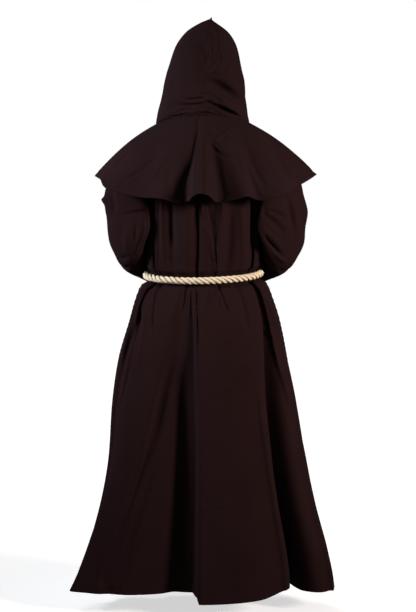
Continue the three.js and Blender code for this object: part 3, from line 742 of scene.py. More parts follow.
def stitchesOn(name, grid, normals, reach, material, slot):
    # Short bars along the line where the cloth's distance from its edge is the hem's depth: each bar is
    # four rings of four corners on a bowed line, all worked out at once
    inside = np.argmax(reach < finishing["hemDepth"], axis=0)
    column = np.arange(grid.shape[1])
    near, far = reach[inside, column], reach[inside - 1, column]
    share = ((finishing["hemDepth"] - far) / (near - far))[:, None]
    line = lerp(grid[inside - 1, column], grid[inside, column], share)
    up = lerp(normals[inside - 1, column], normals[inside, column], share)
    run = np.concatenate([[0], np.cumsum(np.linalg.norm(np.diff(line, axis=0), axis=1))])
    starts = np.arange(stitching["first"], run[-1] - stitching["every"], stitching["every"])[:, None]
    at = starts + np.array([0, 0.25, 0.75, 1]) * stitching["length"]
    middle = np.stack([np.interp(at, run, line[:, k]) for k in range(3)], axis=-1)
    normal = unit(np.stack([np.interp(at, run, up[:, k]) for k in range(3)], axis=-1))
    side = unit(np.cross(unit(middle[:, -1:] - middle[:, :1]), normal))
    size = stitching["radius"] * np.array([stitching["ends"], 1, 1, stitching["ends"]])[None, :, None]
    middle = middle + normal * (size * stitching["raised"] - stitching["sunk"])
    corners = [middle + normal * size, middle + side * size, middle - normal * size, middle - side * size]
    points = np.stack(corners, axis=2).reshape(-1, 3)
    ring = np.arange(4)
    a = ring[:3, None] * 4 + ring[None]
    b = ring[:3, None] * 4 + (ring[None] + 1) % 4
    bar = np.concatenate([quadsOf(a, b, b + 4, a + 4), [[3, 2, 1, 0], [12, 13, 14, 15]]])
    quads = (np.arange(len(starts))[:, None, None] * 16 + bar[None]).reshape(-1, 4)
    return fitPiece(makeMesh(name, points, quads), material, slot)


allowanceDepth = 1.2


def allowanceAbove(grid, reach):
    # A row above the first one, as far up the cloth as reach and a little in, which backs the seam
    edge = grid[:1] + unit(grid[:1] - grid[1:2]) * reach - gridNormals(grid)[:1] * allowanceDepth
    return np.concatenate([edge, grid])


def clothPiece(
    name, grid, node, material, slot, looped=False, creases=(), seams=(), hems=(), held="hung", restsOn=()
):
    # A thin wall on a grid of points: the outer face with its creases, the inner face and the edges
    across, down = flatPlaces(grid)
    normals = gridNormals(grid, looped)
    rise = creaseDepth(grid, normals, creases) + edgeFinish(across, down, seams, hems)
    grid = grid + normals * rise[..., None]
    normals = gridNormals(grid, looped)
    rows, columns = grid.shape[:2]
    distances = edgeDistances(across, down)
    thickness = np.full((rows, columns), float(finishing["thickness"]))
    for side in hems:
        thickness += finishing["thickness"] * smoothStep((finishing["hemDepth"] + 1 - distances[side]) / 2)
    inner = grid - normals * thickness[..., None]
    points = np.concatenate([grid.reshape(-1, 3), inner.reshape(-1, 3)])
    index = np.arange(rows * columns).reshape(rows, columns)
    if looped:
        index = np.concatenate([index, index[:, :1]], axis=1)
    back = rows * columns
    a, b, c, d = cellCorners(index)
    top, bottom, left, right = index[0], index[-1], index[:, 0], index[:, -1]
    quads = [quadsOf(b, c, d, a), quadsOf(d, c, b, a) + back]
    quads += [rim(top[:-1], top[1:], back), rim(bottom[1:], bottom[:-1], back)]
    if not looped:
        quads += [rim(left[1:], left[:-1], back), rim(right[:-1], right[1:], back)]
    across, down = flatPlaces(grid)
    flat = np.stack([across, down], axis=-1).reshape(-1, 2) * mm
    piece = makeMesh(name, points, np.concatenate(quads), flat=np.concatenate([flat, flat]))
    fitPiece(piece, material, slot, node)
    distances = edgeDistances(across, down)
    for side in hems:
        sewn = [grid, normals, distances[side]]
        if side in ("left", "right"):
            sewn = [part.swapaxes(0, 1) for part in sewn]
        if side == "left":
            sewn = [part[::-1] for part in sewn]
        stitchesOn(name + "Stitches", *sewn, thread, slot)
    # The cut: its widest row and longest column, and the real area of the cloth
    closing = np.linalg.norm(grid[:, -1] - grid[:, 0], axis=1) if looped else 0
    width, length = (across[:, -1] + closing).max() * mm, down[-1].max() * mm
    cells = np.cross(grid[1:, 1:] - grid[:-1, :-1], grid[1:, :-1] - grid[:-1, 1:])
    area = np.linalg.norm(cells, axis=2).sum() / 2 * mm * mm
    if looped:
        area += (closing * np.gradient(down[:, 0])).sum() * mm * mm
    area = min(area, width * length)
    cut = (round(width, 3), round(length, 3))
    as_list(restsOn)
    print(name, "is", cut[0], "by", cut[1], "m,", round(area, 3), "m2")


def addNode(tree, kind, sockets=None, **settings):
    # A shader node with its settings, its sockets set to values or fed by other nodes' outputs
    node = tree.nodes.new("ShaderNode" + kind)
    for name, value in settings.items():
        setattr(node, name, value)
    return fillSockets(tree, node, sockets or {})


def fillSockets(tree, node, sockets):
    # A value is set on the socket itself, and an output is linked to it
    for name, value in sockets.items():
        if isinstance(value, bpy.types.NodeSocket):
            tree.links.new(value, node.inputs[name])
        else:
            node.inputs[name].default_value = value
    return node


def newMaterial(name):
    # The material, its nodes and its shader
    material = bpy.data.materials.new(name)
    material.use_nodes = True
    return material, material.node_tree, material.node_tree.nodes["Principled BSDF"]


twill = {
    "roughness": 0.75,
    "sheen": 0.01,
    "sheenRoughness": 0.4,
    "sheenTint": (0.9, 0.72, 0.74, 1),
    "mottle": 7,
    "slubs": (900, 60, 1),  # across the warp and along it
    "slubShare": 0.35,
    "ribs": 260,
    "ribStrength": 0.25,
    "ribHeight": 0.0002,
}


def clothMaterial(name, base, lit):
    # Dark twill: a soft mottle in the colour, fine slubs along the warp, and a diagonal weave in the bump
    material, tree, shader = newMaterial(name)
    place = addNode(tree, "UVMap", uv_map="flat").outputs["UV"]
    onObject = addNode(tree, "TexCoord").outputs["Object"]
    mottle = addNode(tree, "TexNoise", {"Scale": twill["mottle"], "Detail": 4, "Vector": onObject})
    stretch = addNode(tree, "Mapping", {"Scale": twill["slubs"], "Vector": place})
    slub = addNode(tree, "TexNoise", {"Scale": 1, "Detail": 2, "Vector": stretch.outputs["Vector"]})
    rest = {0: mottle.outputs["Fac"], 1: 1 - twill["slubShare"]}
    rest = addNode(tree, "Math", rest, operation="MULTIPLY").outputs[0]
    both = {0: slub.outputs["Fac"], 1: twill["slubShare"], 2: rest}
    both = addNode(tree, "Math", both, operation="MULTIPLY_ADD").outputs[0]
    shades = addNode(tree, "Mix", {0: both, 6: (*base, 1), 7: (*lit, 1)}, data_type="RGBA")
    ribs = addNode(tree, "TexWave", {"Scale": twill["ribs"], "Vector": place}, bands_direction="DIAGONAL")
    ribs = ribs.outputs["Fac"]
    raised = {"Strength": twill["ribStrength"], "Distance": twill["ribHeight"], "Height": ribs}
    fillSockets(tree, shader, {
        "Base Color": shades.outputs[2],
        "Roughness": twill["roughness"],
        "Specular IOR Level": 0,
        "Sheen Weight": twill["sheen"],
        "Sheen Roughness": twill["sheenRoughness"],
        "Sheen Tint": twill["sheenTint"],
        "Normal": addNode(tree, "Bump", raised).outputs["Normal"],
    })
    return material


cotton = {
    "roughness": 0.85,
    "specular": 0.2,
    "sheen": 0.15,
    "fibres": 420,
    "shades": ((0.3, (0.78, 0.6, 0.36, 1)), (0.7, (0.95, 0.82, 0.6, 1))),
    "groove": (0.58, 0.94),  # from the rope's middle, where the brown painted groove shade ends and where the cream begins
    "grooveShadeColour": (0.16, 0.085, 0.04, 1),
    "fuzzStrength": 0.4,
    "fuzzHeight": 0.0004,
}


def ropeMaterial(name):
    # Cream cotton: fine fibres, paler where they stand out, and painted shade, a dark brown, deep between
    # the strands
    material, tree, shader = newMaterial(name)
    onObject = addNode(tree, "TexCoord").outputs["Object"]
    fibre = addNode(tree, "TexNoise", {"Scale": cotton["fibres"], "Detail": 3, "Vector": onObject})
    shades = addNode(tree, "ValToRGB", {"Fac": fibre.outputs["Fac"]})
    for element, (position, colour) in zip(shades.color_ramp.elements, cotton["shades"]):
        element.position = position
        element.color = colour
    # The flat place's second measure is the distance from the rope's middle: the low values, deep between
    # the strands, get painted shade
    place = addNode(tree, "UVMap", uv_map="flat").outputs["UV"]
    depth = addNode(tree, "SeparateXYZ", {"Vector": place}).outputs["Y"]
    low, high = cotton["groove"]
    groove = {"From Min": low, "From Max": high, "Value": depth}
    groove = addNode(tree, "MapRange", groove, interpolation_type="SMOOTHSTEP").outputs["Result"]
    shadedTone = {0: groove, 6: cotton["grooveShadeColour"], 7: shades.outputs["Color"]}
    shadedTone = addNode(tree, "Mix", shadedTone, data_type="RGBA")
    fibre = fibre.outputs["Fac"]
    fuzz = {"Strength": cotton["fuzzStrength"], "Distance": cotton["fuzzHeight"], "Height": fibre}
    fillSockets(tree, shader, {
        "Base Color": shadedTone.outputs[2],
        "Roughness": cotton["roughness"],
        "Specular IOR Level": cotton["specular"],
        "Sheen Weight": cotton["sheen"],
        "Normal": addNode(tree, "Bump", fuzz).outputs["Normal"],
    })
    return material


thread = clothMaterial("thread", (0.02, 0.0088, 0.0094), (0.03, 0.014, 0.0148))
robeCloth = clothMaterial("robeCloth", (0.0134, 0.0058, 0.006), (0.0248, 0.0116, 0.0117))
hoodCloth = clothMaterial("hoodCloth", (0.0143, 0.0066, 0.007), (0.0266, 0.0131, 0.0138))
ropeCotton = ropeMaterial("ropeCotton")


rope = {
    "strand": 0.475,  # a strand's radius over the rope's
    "yarns": 9,
    "lobe": 0.05,
    "lobeMiddle": 0.6,
    "sides": 24,
    "yarnPitch": 47,
    "tip": 4,  # how far back from its cut end a strand is drawn in
    "tipSqueeze": 0.6,
    "tipShadeDepth": 0.6,  # the share of the rope's radius whose painted groove shade the middle of a cut end has
}


def ropeStrands(path, normals, sideways, length, closed=False, radius=ropeRadius, turns=None):
    # Three strands wound round the path, each a tube whose section has the lobes of its own yarns
    turns = turns or length / ropePitch
    strandRadius = radius * rope["strand"]
    steps, sides = len(path), rope["sides"]
    share = np.arange(steps) / (steps if closed else steps - 1)
    around = np.arange(sides) / sides * 2 * math.pi
    if closed:
        twist = share * round(length / rope["yarnPitch"]) * 2 * math.pi
    else:
        twist = share * length / rope["yarnPitch"] * 2 * math.pi
    lobes = np.abs(np.cos((around[None] + twist[:, None]) * rope["yarns"] / 2)) - rope["lobeMiddle"]
    size = strandRadius * (1 + rope["lobe"] * lobes)
    if not closed:
        tip = np.minimum(share, 1 - share) * length / rope["tip"]
        size = size * np.sqrt(clamp01(1 - (1 - np.minimum(tip, 1)) ** 2 * rope["tipSqueeze"]))[:, None]
    points, quads, triangles, places = [], [], [], []
    for strand in range(3):
        wind = (share * turns + strand / 3) * 2 * math.pi
        outward = np.cos(wind)[:, None] * normals + np.sin(wind)[:, None] * sideways
        centre = path + outward * (radius - strandRadius)
        along = unit(stepsAlong(centre, closed=closed))
        across = unit(np.cross(along, outward))
        up = np.cross(across, along)
        ring = np.cos(around)[None, :, None] * up[:, None] + np.sin(around)[None, :, None] * across[:, None]
        tube = centre[:, None] + ring * size[..., None]
        base = sum(len(part) for part in points)
        index = np.arange(steps * sides).reshape(steps, sides) + base
        index = np.concatenate([index, index[:, :1]], axis=1)
        if closed:
            index = np.concatenate([index, index[:1]], axis=0)
        quads.append(quadsOf(*cellCorners(index)))
        points.append(tube.reshape(-1, 3))
        # A point's distance from the rope's middle, kept in its flat place for the painted shade between
        # the strands
        depth = np.linalg.norm(tube - path[:, None], axis=2) / radius
        run = np.broadcast_to((share * length)[:, None] * mm, depth.shape)
        places.append(np.stack([run, depth], axis=-1).reshape(-1, 2))
        if not closed:
            # Each end is a fan of triangles round its middle
            start, end = index[0, :-1], index[-1, :-1]
            middle = np.full(sides, base + steps * sides)
            triangles.append(np.stack([middle, np.roll(start, -1), start], axis=-1))
            triangles.append(np.stack([middle + 1, end, np.roll(end, -1)], axis=-1))
            points.append(centre[[0, -1]])
            places.append(np.array([[0, rope["tipShadeDepth"]], [length * mm, rope["tipShadeDepth"]]]))
    triangles = np.concatenate(triangles) if triangles else None
    return np.concatenate(points), np.concatenate(quads), triangles, np.concatenate(places)


def ropePiece(name, node, strands):
    # Its strands as one mesh of cotton
    return fitPiece(makeMesh(name, *strands), ropeCotton, "rope", node)


# The belt's free ends come first: from the knot down the front of the skirt
beltKnot = {
    "centre": np.array([2, -150, waistHeight + waistDip - 4]),
    "size": 12,
    "wide": 0.86,
    "deep": 0.98,
    "tall": 0.8,
    "radius": 0.86 * ropeRadius,
    "steps": 220,
}
beltEnd = {
    "points": 10,
    "steps": 180,
    "standOff": 6,
    "apartAtKnot": 13,
    "apartBelow": 17,
    "apartMore": 5,
    "outBy": 1 / 3,  # the share of its length after which an end is out on the skirt
    "apartBy": 1 / 2.2,
}
beltEnds = tableOf(
    "name node hand length drop",
    [
        ["tailLeft", "belt_tail_left", 1, 440, 37.2],
        ["tailRight", "belt_tail_right", -1, 400, 38],
    ],
)


def beltEndPoints(hand, length, drop):
    # Straight down from under the knot, first out onto the skirt, and away from the other end
    share = np.arange(beltEnd["points"]) / (beltEnd["points"] - 1)
    height = beltKnot["centre"][2] - drop - share * length
    onSkirt = -robeRings["front"](height) - ropeRadius - beltEnd["standOff"]
    underKnot = beltKnot["centre"][1] - beltEnd["standOff"]
    y = np.minimum(lerp(underKnot, onSkirt, clamp01(share / beltEnd["outBy"])), onSkirt)
    apart = beltEnd["apartBelow"] + beltEnd["apartMore"] * share
    apart = lerp(beltEnd["apartAtKnot"], apart, clamp01(share / beltEnd["apartBy"]))
    return xyz(beltKnot["centre"][0] + hand * apart, y, height)


for end in beltEnds:
    path, length = smoothPath(beltEndPoints(end["hand"], end["length"], end["drop"]), beltEnd["steps"])
    along = unit(stepsAlong(path))
    normals = unit(np.array([1, 0, 0]) - along * along[:, :1])
    strands = ropeStrands(path, normals, np.cross(along, normals), length)
    tail = ropePiece(end["name"], end["node"], strands)
print("belt ends made")

# The rope round the waist, which leaves the cloth at either side of the knot and comes into it
belt = {"reach": 155, "places": 61, "turn": 1.15, "steps": 440}
degrees = np.linspace(-belt["reach"], belt["reach"], belt["places"])
ring = robePoint(degrees, waistHeight)
ringAlong = robePoint(degrees + belt["turn"], waistHeight) - robePoint(degrees - belt["turn"], waistHeight)
ringOut = unit(xyz(ringAlong[:, 1], -ringAlong[:, 0], 0 * degrees))
ringOut *= np.sign(np.sum(ringOut * ring, axis=1))[:, None]
ring = ring + ringOut * (ropeRadius + ropeClearance)
leadIn = [[60, -128, 2], [43.6, -143.6, 0]]
knotX, knotZ = beltKnot["centre"][0], beltKnot["centre"][2]
ends = {hand: [[knotX + hand * x, y, knotZ + z] for x, y, z in leadIn] for hand in (-1, 1)}
path, length = smoothPath([*ends[-1][::-1], *ring, *ends[1]], belt["steps"])
along = unit(stepsAlong(path))
outward = unit(np.cross(np.array([0, 0, 1]), along))
ropePiece("beltRope", "belt_rope", ropeStrands(path, outward, np.cross(along, outward), length))

# The knot: a closed overhand path on a ring, three times round
turn = np.arange(beltKnot["steps"]) / beltKnot["steps"] * 2 * math.pi
knotPath = xyz(
    (np.sin(turn) + 2 * np.sin(2 * turn)) * beltKnot["size"] * beltKnot["wide"],
    -np.sin(3 * turn) * beltKnot["size"] * beltKnot["deep"],
    (np.cos(turn) - 2 * np.cos(2 * turn)) * beltKnot["size"] * beltKnot["tall"],
)
along = unit(stepsAlong(knotPath, closed=True))
outward = xyz(np.sin(turn), -np.sin(3 * turn), np.cos(turn))
outward = unit(outward - along * np.sum(outward * along, axis=1, keepdims=True))
closedPath = np.concatenate([knotPath[-1:], knotPath, knotPath[:1]])
knotLength = np.linalg.norm(np.diff(closedPath, axis=0), axis=1).sum()
strands = ropeStrands(
    knotPath + beltKnot["centre"],
    outward,
    np.cross(along, outward),
    knotLength,
    closed=True,
    radius=beltKnot["radius"],
    turns=round(knotLength / ropePitch),
)
ropePiece("beltKnot", "belt_knot", strands)
print("belt made")

# The robe's panels
seamLap = 0.1  # how far past the seam's middle a panel reaches, so that no light shows through
robe = {
    "columnPower": 1.35,
    "backColumns": 104,
    "frontColumns": 170,
    "creaseStrength": 1.35,
    "lapReach": (0.6, 60),  # a seam's distance from the middle: this share of the half width, at least this
}
hemRows = ((-1444, -1450, 2), (-1450, -1458, 1.1), (-1458, hemHeight, 2.5))
backRows = joined((-13, -60, 4), (-60, -440, 6), (-440, -520, 3), (-520, -1444, 5.5), *hemRows)
frontRows = joined((-13, -60, 4), (-60, -440, 8), (-440, -520, 3.5), (-520, -1444, 8), *hemRows)


def lapAngle(reach):
    # The seam's lap in degrees, at this distance from the middle
    return np.degrees(seamLap / reach)


def robeGrid(rows, fromEdge, toEdge, shares):
    # Every row runs from one edge's angle to the other's, and a lap past both
    side = rows[:, None]
    reach, least = robe["lapReach"]
    lap = lapAngle(np.maximum(robeRings["halfWidth"](side) * reach, least))
    return robePoint(lerp(fromEdge(side) - lap, toEdge(side) + lap, shares[None]), side)


# Angle and height, from the first point down; left is the wearer's left of a line that runs down
robeCreases = creasesOn(
    robePoint,
    robe["creaseStrength"],
    [
        # the back, between the cape and the belt
        [[(58, -230), (58.5, -330), (58, -462)], 3.5, 3, -5, 1, 1],
        [[(51, -240), (51.5, -350), (52, -462)], 4.5, 4.5, 4, 1, 0.7],
        [[(47.5, -240), (47, -340), (48, -462)], 3, 3, -3.5, 1, 0.6],
        [[(43.5, -240), (43, -350), (41, -455)], 4, 4, 4, 1, 0.5],
        [[(34, -235), (33, -340), (31, -400)], 12, 9, -6, 1, 0.2],
        [[(38, -395), (30, -418), (19, -432)], 5, 6, -2.4, 0.2, 0.1],
        [[(-2, -402), (-13, -423), (-24, -430)], 4, 5, -2.4, 0.3, 0.1],
        [[(17, -240), (17, -350), (20, -440)], 20, 14, 4.5, 1, 0.3],
        [[(7.2, -225), (6.8, -350), (7.6, -466)], 9, 3.2, -7, 1, 1],
        [[(2.5, -250), (0.5, -315), (-7, -362), (-11, -440)], 5, 6, 4.5, 0.8, 0.2],
        [[(-3.5, -250), (-8, -330)], 7, 6, -4, 0.8, 0],
        [[(-17.8, -245), (-17, -300), (-14.5, -370), (-13.5, -455)], 7, 5, 4, 0.6, 0.3],
        [[(-11, -375), (-12.5, -420), (-12, -462)], 4, 4, -3.5, 0, 0.8],
        [[(-24, -245), (-26, -330), (-24, -450)], 12, 14, -3, 0.7, 0.3],
        [[(-38, -260), (-40, -350), (-41, -450)], 12, 9, 3.5, 0.5, 0.5],
        [[(-54.5, -235), (-55, -350), (-56, -466)], 4.5, 3.2, -8, 1, 1],
        [[(-60.5, -240), (-62, -340), (-64, -462)], 4, 4, 4.5, 1, 0.8],
        # gathers under the belt
        [[(17.4, -492), (17, -530), (20, -600)], 6, 5, -3.5, 1, 0],
        [[(13.5, -492), (12.5, -540), (12, -620)], 7, 6, 3, 0.8, 0],
        [[(22, -490), (24, -560), (29, -640)], 6, 7, 2.5, 0.8, 0],
        [[(-15, -492), (-17, -545), (-21.5, -600)], 4, 4, -4.5, 1, 0],
        [[(-14.6, -500), (-12.5, -555), (-10.5, -590)], 4, 4, -2.5, 0.7, 0],
        [[(-4.5, -494), (-1, -550), (0.5, -600)], 6, 6, 2.2, 0.8, 0],
        [[(-6.5, -496), (-10, -520), (-14, -530)], 6, 5, 2.8, 0.3, 0],
        [[(-27, -490), (-27, -550), (-26, -640)], 7, 8, 2.6, 0.8, 0],
        [[(-33, -490), (-33, -560), (-32, -660)], 6, 6, -2.6, 0.9, 0],
        [[(47, -490), (44, -560), (38, -680)], 5, 7, -4, 1, 0.1],
        [[(52, -490), (51, -570), (46, -700), (44, -820)], 6, 8, 5, 1, 0],
        [
            [(60, -492), (63.5, -556), (58.5, -655), (56, -762), (60, -868), (68, -960)],
            5, 5, -9, 0.8, 0.1,
        ],
        [[(68, -494), (72, -570), (68, -690), (68, -800)], 6, 7, 5, 0.8, 0],
        # the long drags of the skirt
        [
            [
                (15, -620), (21, -740), (26.5, -820), (30, -900),
                (34.5, -990), (41, -1135), (45.5, -1260), (50, -1425),
            ],
            22, 11, -8, 0, 0.9,
        ],
        [[(30, -980), (36.5, -1135), (41, -1260), (45, -1440)], 10, 16, 4, 0.2, 0.8],
        [[(7, -510), (6.2, -600), (4.6, -740), (4.7, -900), (5.6, -1050)], 8, 3, -6, 1, 0.6],
        [[(12, -640), (13, -760), (14, -900), (15.5, -1100), (15, -1460)], 26, 30, -13, 0, 0.8],
        [[(-55, -495), (-49, -560), (-47.5, -600), (-51, -660)], 5, 3, -7, 1, 0.5],
        [
            [(-62, -495), (-60, -560), (-57.5, -640), (-56.5, -740), (-59, -850), (-66, -960)],
            4.5, 4.5, 6.5, 1, 0.1,
        ],
        [[(-71, -520), (-71, -580), (-68, -670)], 10, 10, -9, 0.5, 0],
        [[(-35.5, -740), (-34, -900), (-35.5, -1100), (-36.5, -1250), (-37.5, -1460)], 12, 3.5, 4, 0, 1],
        [[(-70, -1000), (-72, -1200), (-71, -1460)], 26, 16, -5, 0, 1],
        [[(-82, -900), (-80, -1150), (-84, -1460)], 12, 14, 5, 0, 1],
        # where it was packed
        [[(39.5, -1138), (30, -1144), (20, -1141)], 2.6, 2.6, -1.6, 0.4, 0.2],
        [[(3.5, -1186), (-12, -1170), (-24, -1148), (-37, -1131)], 2.4, 2.6, 1.5, 0.5, 0.7],
        [[(44, -900), (34, -905), (24, -898)], 3, 3, -1, 0.2, 0.2],
        [[(-4, -830), (-18, -822), (-30, -826)], 3, 3, 1, 0.2, 0.2],
        # the front, like the back
        [[(128, -240), (129, -340), (130, -455)], 5, 6, -5, 0.8, 0.8],
        [[(150, -250), (152, -350), (150, -455)], 8, 6, -4, 0.5, 0.8],
        [[(166, -270), (168, -360), (164, -455)], 7, 8, 4, 0.3, 0.8],
        [[(-169, -260), (-172, -350), (-168, -455)], 6, 7, -4, 0.4, 0.8],
        [[(-148, -250), (-150, -350), (-151, -455)], 7, 7, 4, 0.6, 0.8],
        [[(-132, -240), (-131, -350), (-130, -455)], 5, 5, -5, 0.8, 0.8],
        [[(118, -494), (116, -570), (112, -700), (113, -860)], 6, 8, -5, 1, 0],
        [[(136, -494), (137, -590), (141, -720)], 6, 7, -4, 1, 0],
        [[(146, -494), (146, -600), (148, -760)], 7, 7, 4, 1, 0],
        [[(171, -494), (172, -600), (174, -760)], 8, 8, -4, 1, 0],
        [[(-172, -494), (-170, -590), (-173, -700)], 7, 6, 3.5, 1, 0],
        [[(-151, -494), (-149, -600), (-150, -740)], 7, 7, -4, 1, 0],
        [[(-134, -494), (-135, -600), (-138, -760)], 7, 8, 4, 1, 0],
        [[(-117, -494), (-117, -590), (-113, -730)], 6, 7, -5, 1, 0],
        [[(133, -900), (132, -1100), (133, -1460)], 16, 20, -8, 0, 1],
        [[(175, -860), (178, -1100), (176, -1460)], 26, 22, 6, 0, 1],
        [[(-170, -900), (-168, -1150), (-170, -1460)], 22, 18, -6, 0, 1],
        [[(-134, -880), (-135, -1100), (-134, -1460)], 18, 18, -8, 0, 1],
    ],
)

shares = np.linspace(0, 1, robe["backColumns"]) ** robe["columnPower"]
grid = robeGrid(backRows, seamLine, armholeAngle, shares)
robePanel = {
    "material": robeCloth,
    "slot": "robe_cloth",
    "creases": robeCreases,
    "seams": ("left", "right"),
    "hems": ("bottom",),
}
clothPiece("robeBackLeft", grid, "robe_back_left", restsOn=["robeFront"], **robePanel)
grid = robeGrid(backRows, lambda side: -armholeAngle(side), seamLine, 1 - shares[::-1])
clothPiece("robeBackRight", grid, "robe_back_right", restsOn=["robeFront"], **robePanel)
shares = np.linspace(0, 1, robe["frontColumns"])
grid = robeGrid(
    frontRows,
    lambda side: 180 - armholeAngle(side),
    lambda side: 180 + armholeAngle(side),
    shares,
)
clothPiece("robeFront", grid, "robe_front", restsOn=["robeBackLeft", "robeBackRight"], **robePanel)

# Sleeves: degrees round from the elbow's side, and the place along the arm
sleeveCreases = {
    1: [
        [[(98, 2.4), (84, 2.36), (70, 2.45)], 7, 11, 7, 0.2, 0.2],
        [[(48, 3.3), (32, 3.04), (10, 2.94), (-12, 3.0)], 5, 4, -4.5, 0.1, 1],
        [[(40, 3.05), (24, 2.85), (6, 2.78)], 5, 5, 3, 0.1, 0.8],
        [[(24, 3.3), (22, 3.9), (14, 4.5)], 8, 6, -4.5, 0.3, 0.4],
        [[(36, 3.5), (34, 4.1), (26, 4.8)], 8, 9, 4, 0.1, 0.2],
        [[(6, 3.4), (4, 4.1), (6, 4.9)], 6, 6, -4, 0.6, 0.6],
        [[(75, 1.7), (78, 2.6), (74, 3.6)], 14, 12, 4, 0.2, 0],
        [[(60, 1.8), (58, 2.6), (60, 3.4)], 9, 9, -4, 0.4, 0],
        [[(20, 5.0), (40, 5.3), (64, 5.2)], 7, 7, -4, 0.3, 0],
        [[(10, 5.6), (38, 6.1), (66, 6.0)], 8, 8, -5, 0.5, 0.1],
        [[(100, 3.9), (130, 4.2), (160, 4.25)], 8, 8, -6, 0, 0.6],
        [[(95, 4.9), (130, 4.7), (165, 4.5)], 8, 9, -5, 0, 0.6],
        [[(30, 7.0), (36, 8.0), (34, 9.2)], 12, 12, -6, 0, 0.7],
        [[(-20, 7.2), (-24, 8.4), (-22, 9.9)], 14, 12, -6, 0, 0.9],
        [[(60, 7.4), (58, 8.6), (56, 9.9)], 12, 12, 5, 0, 0.9],
        [[(100, 6.8), (104, 7.8), (102, 9.0)], 9, 9, -4, 0.1, 0.2],
    ],
    -1: [
        [[(-2, 2.86), (-12, 2.9), (-26, 3.05), (-40, 3.3)], 4.5, 5, -5, 1, 0.1],
        [[(-4, 3.1), (-14, 3.3), (-26, 3.5)], 7, 8, -5, 1, 0.2],
        [[(-18, 3.35), (-30, 3.7), (-36, 4.1)], 8, 7, -4.5, 0.5, 0],
        [[(-3, 4.12), (-12, 4.5), (-24, 4.95)], 5, 5, -6.5, 1, 0.1],
        [[(-2, 3.75), (-14, 4.1), (-26, 4.5)], 6, 6, 4, 0.8, 0.1],
        [[(-8, 4.65), (-18, 5.0), (-30, 5.3)], 6, 6, 3.5, 0.6, 0.1],
        [[(-45, 2.1), (-53, 3.2), (-59, 4.0), (-61, 4.6)], 7, 9, 4.5, 0.2, 0.1],
        [[(-38, 2.2), (-44, 3.0), (-50, 3.8)], 8, 8, -4, 0.4, 0.1],
        [[(-75, 2.0), (-78, 3.0), (-74, 4.0)], 12, 12, -3.5, 0.4, 0],
        [[(-50, 5.25), (-20, 5.4), (0, 5.5)], 4, 8, 3.5, 0.6, 0.8],
        [[(-10, 5.7), (-38, 6.2), (-66, 6.0)], 8, 8, -5, 0.5, 0.1],
        [[(-100, 3.8), (-130, 4.1), (-160, 4.2)], 8, 8, -6, 0, 0.6],
        [[(-95, 4.9), (-130, 4.8), (-165, 4.6)], 8, 9, -5, 0, 0.6],
        [[(-32, 7.0), (-38, 8.1), (-35, 9.2)], 12, 12, -6, 0, 0.7],
        [[(22, 7.2), (26, 8.4), (22, 9.9)], 14, 12, -6, 0, 0.9],
        [[(-62, 7.4), (-58, 8.6), (-58, 9.9)], 12, 12, 5, 0, 0.9],
        [[(-100, 6.8), (-106, 7.8), (-102, 9.0)], 9, 9, -4, 0.1, 0.2],
    ],
}
sleeve = {"columns": 120, "headRows": 0.06, "rows": 0.09, "creaseStrength": 1.5}
turn = np.linspace(0, 2 * math.pi, sleeve["columns"] + 1)[None, :-1]
stations = joined((0, 1, sleeve["headRows"]), (1, lastStation, sleeve["rows"]))[:, None]
for hand, name, node in ((1, "sleeveLeft", "sleeve_left"), (-1, "sleeveRight", "sleeve_right")):
    grid = sleevePoint(turn, stations, hand)
    creases = creasesOn(
        lambda around, at: sleevePoint(np.radians(around), at, hand),
        sleeve["creaseStrength"],
        sleeveCreases[hand],
    )
    clothPiece(
        name,
        grid,
        node,
        robeCloth,
        "robe_cloth",
        looped=True,
        creases=creases,
        seams=("top",),
        hems=("bottom",),
        restsOn=["robeFront"],
    )

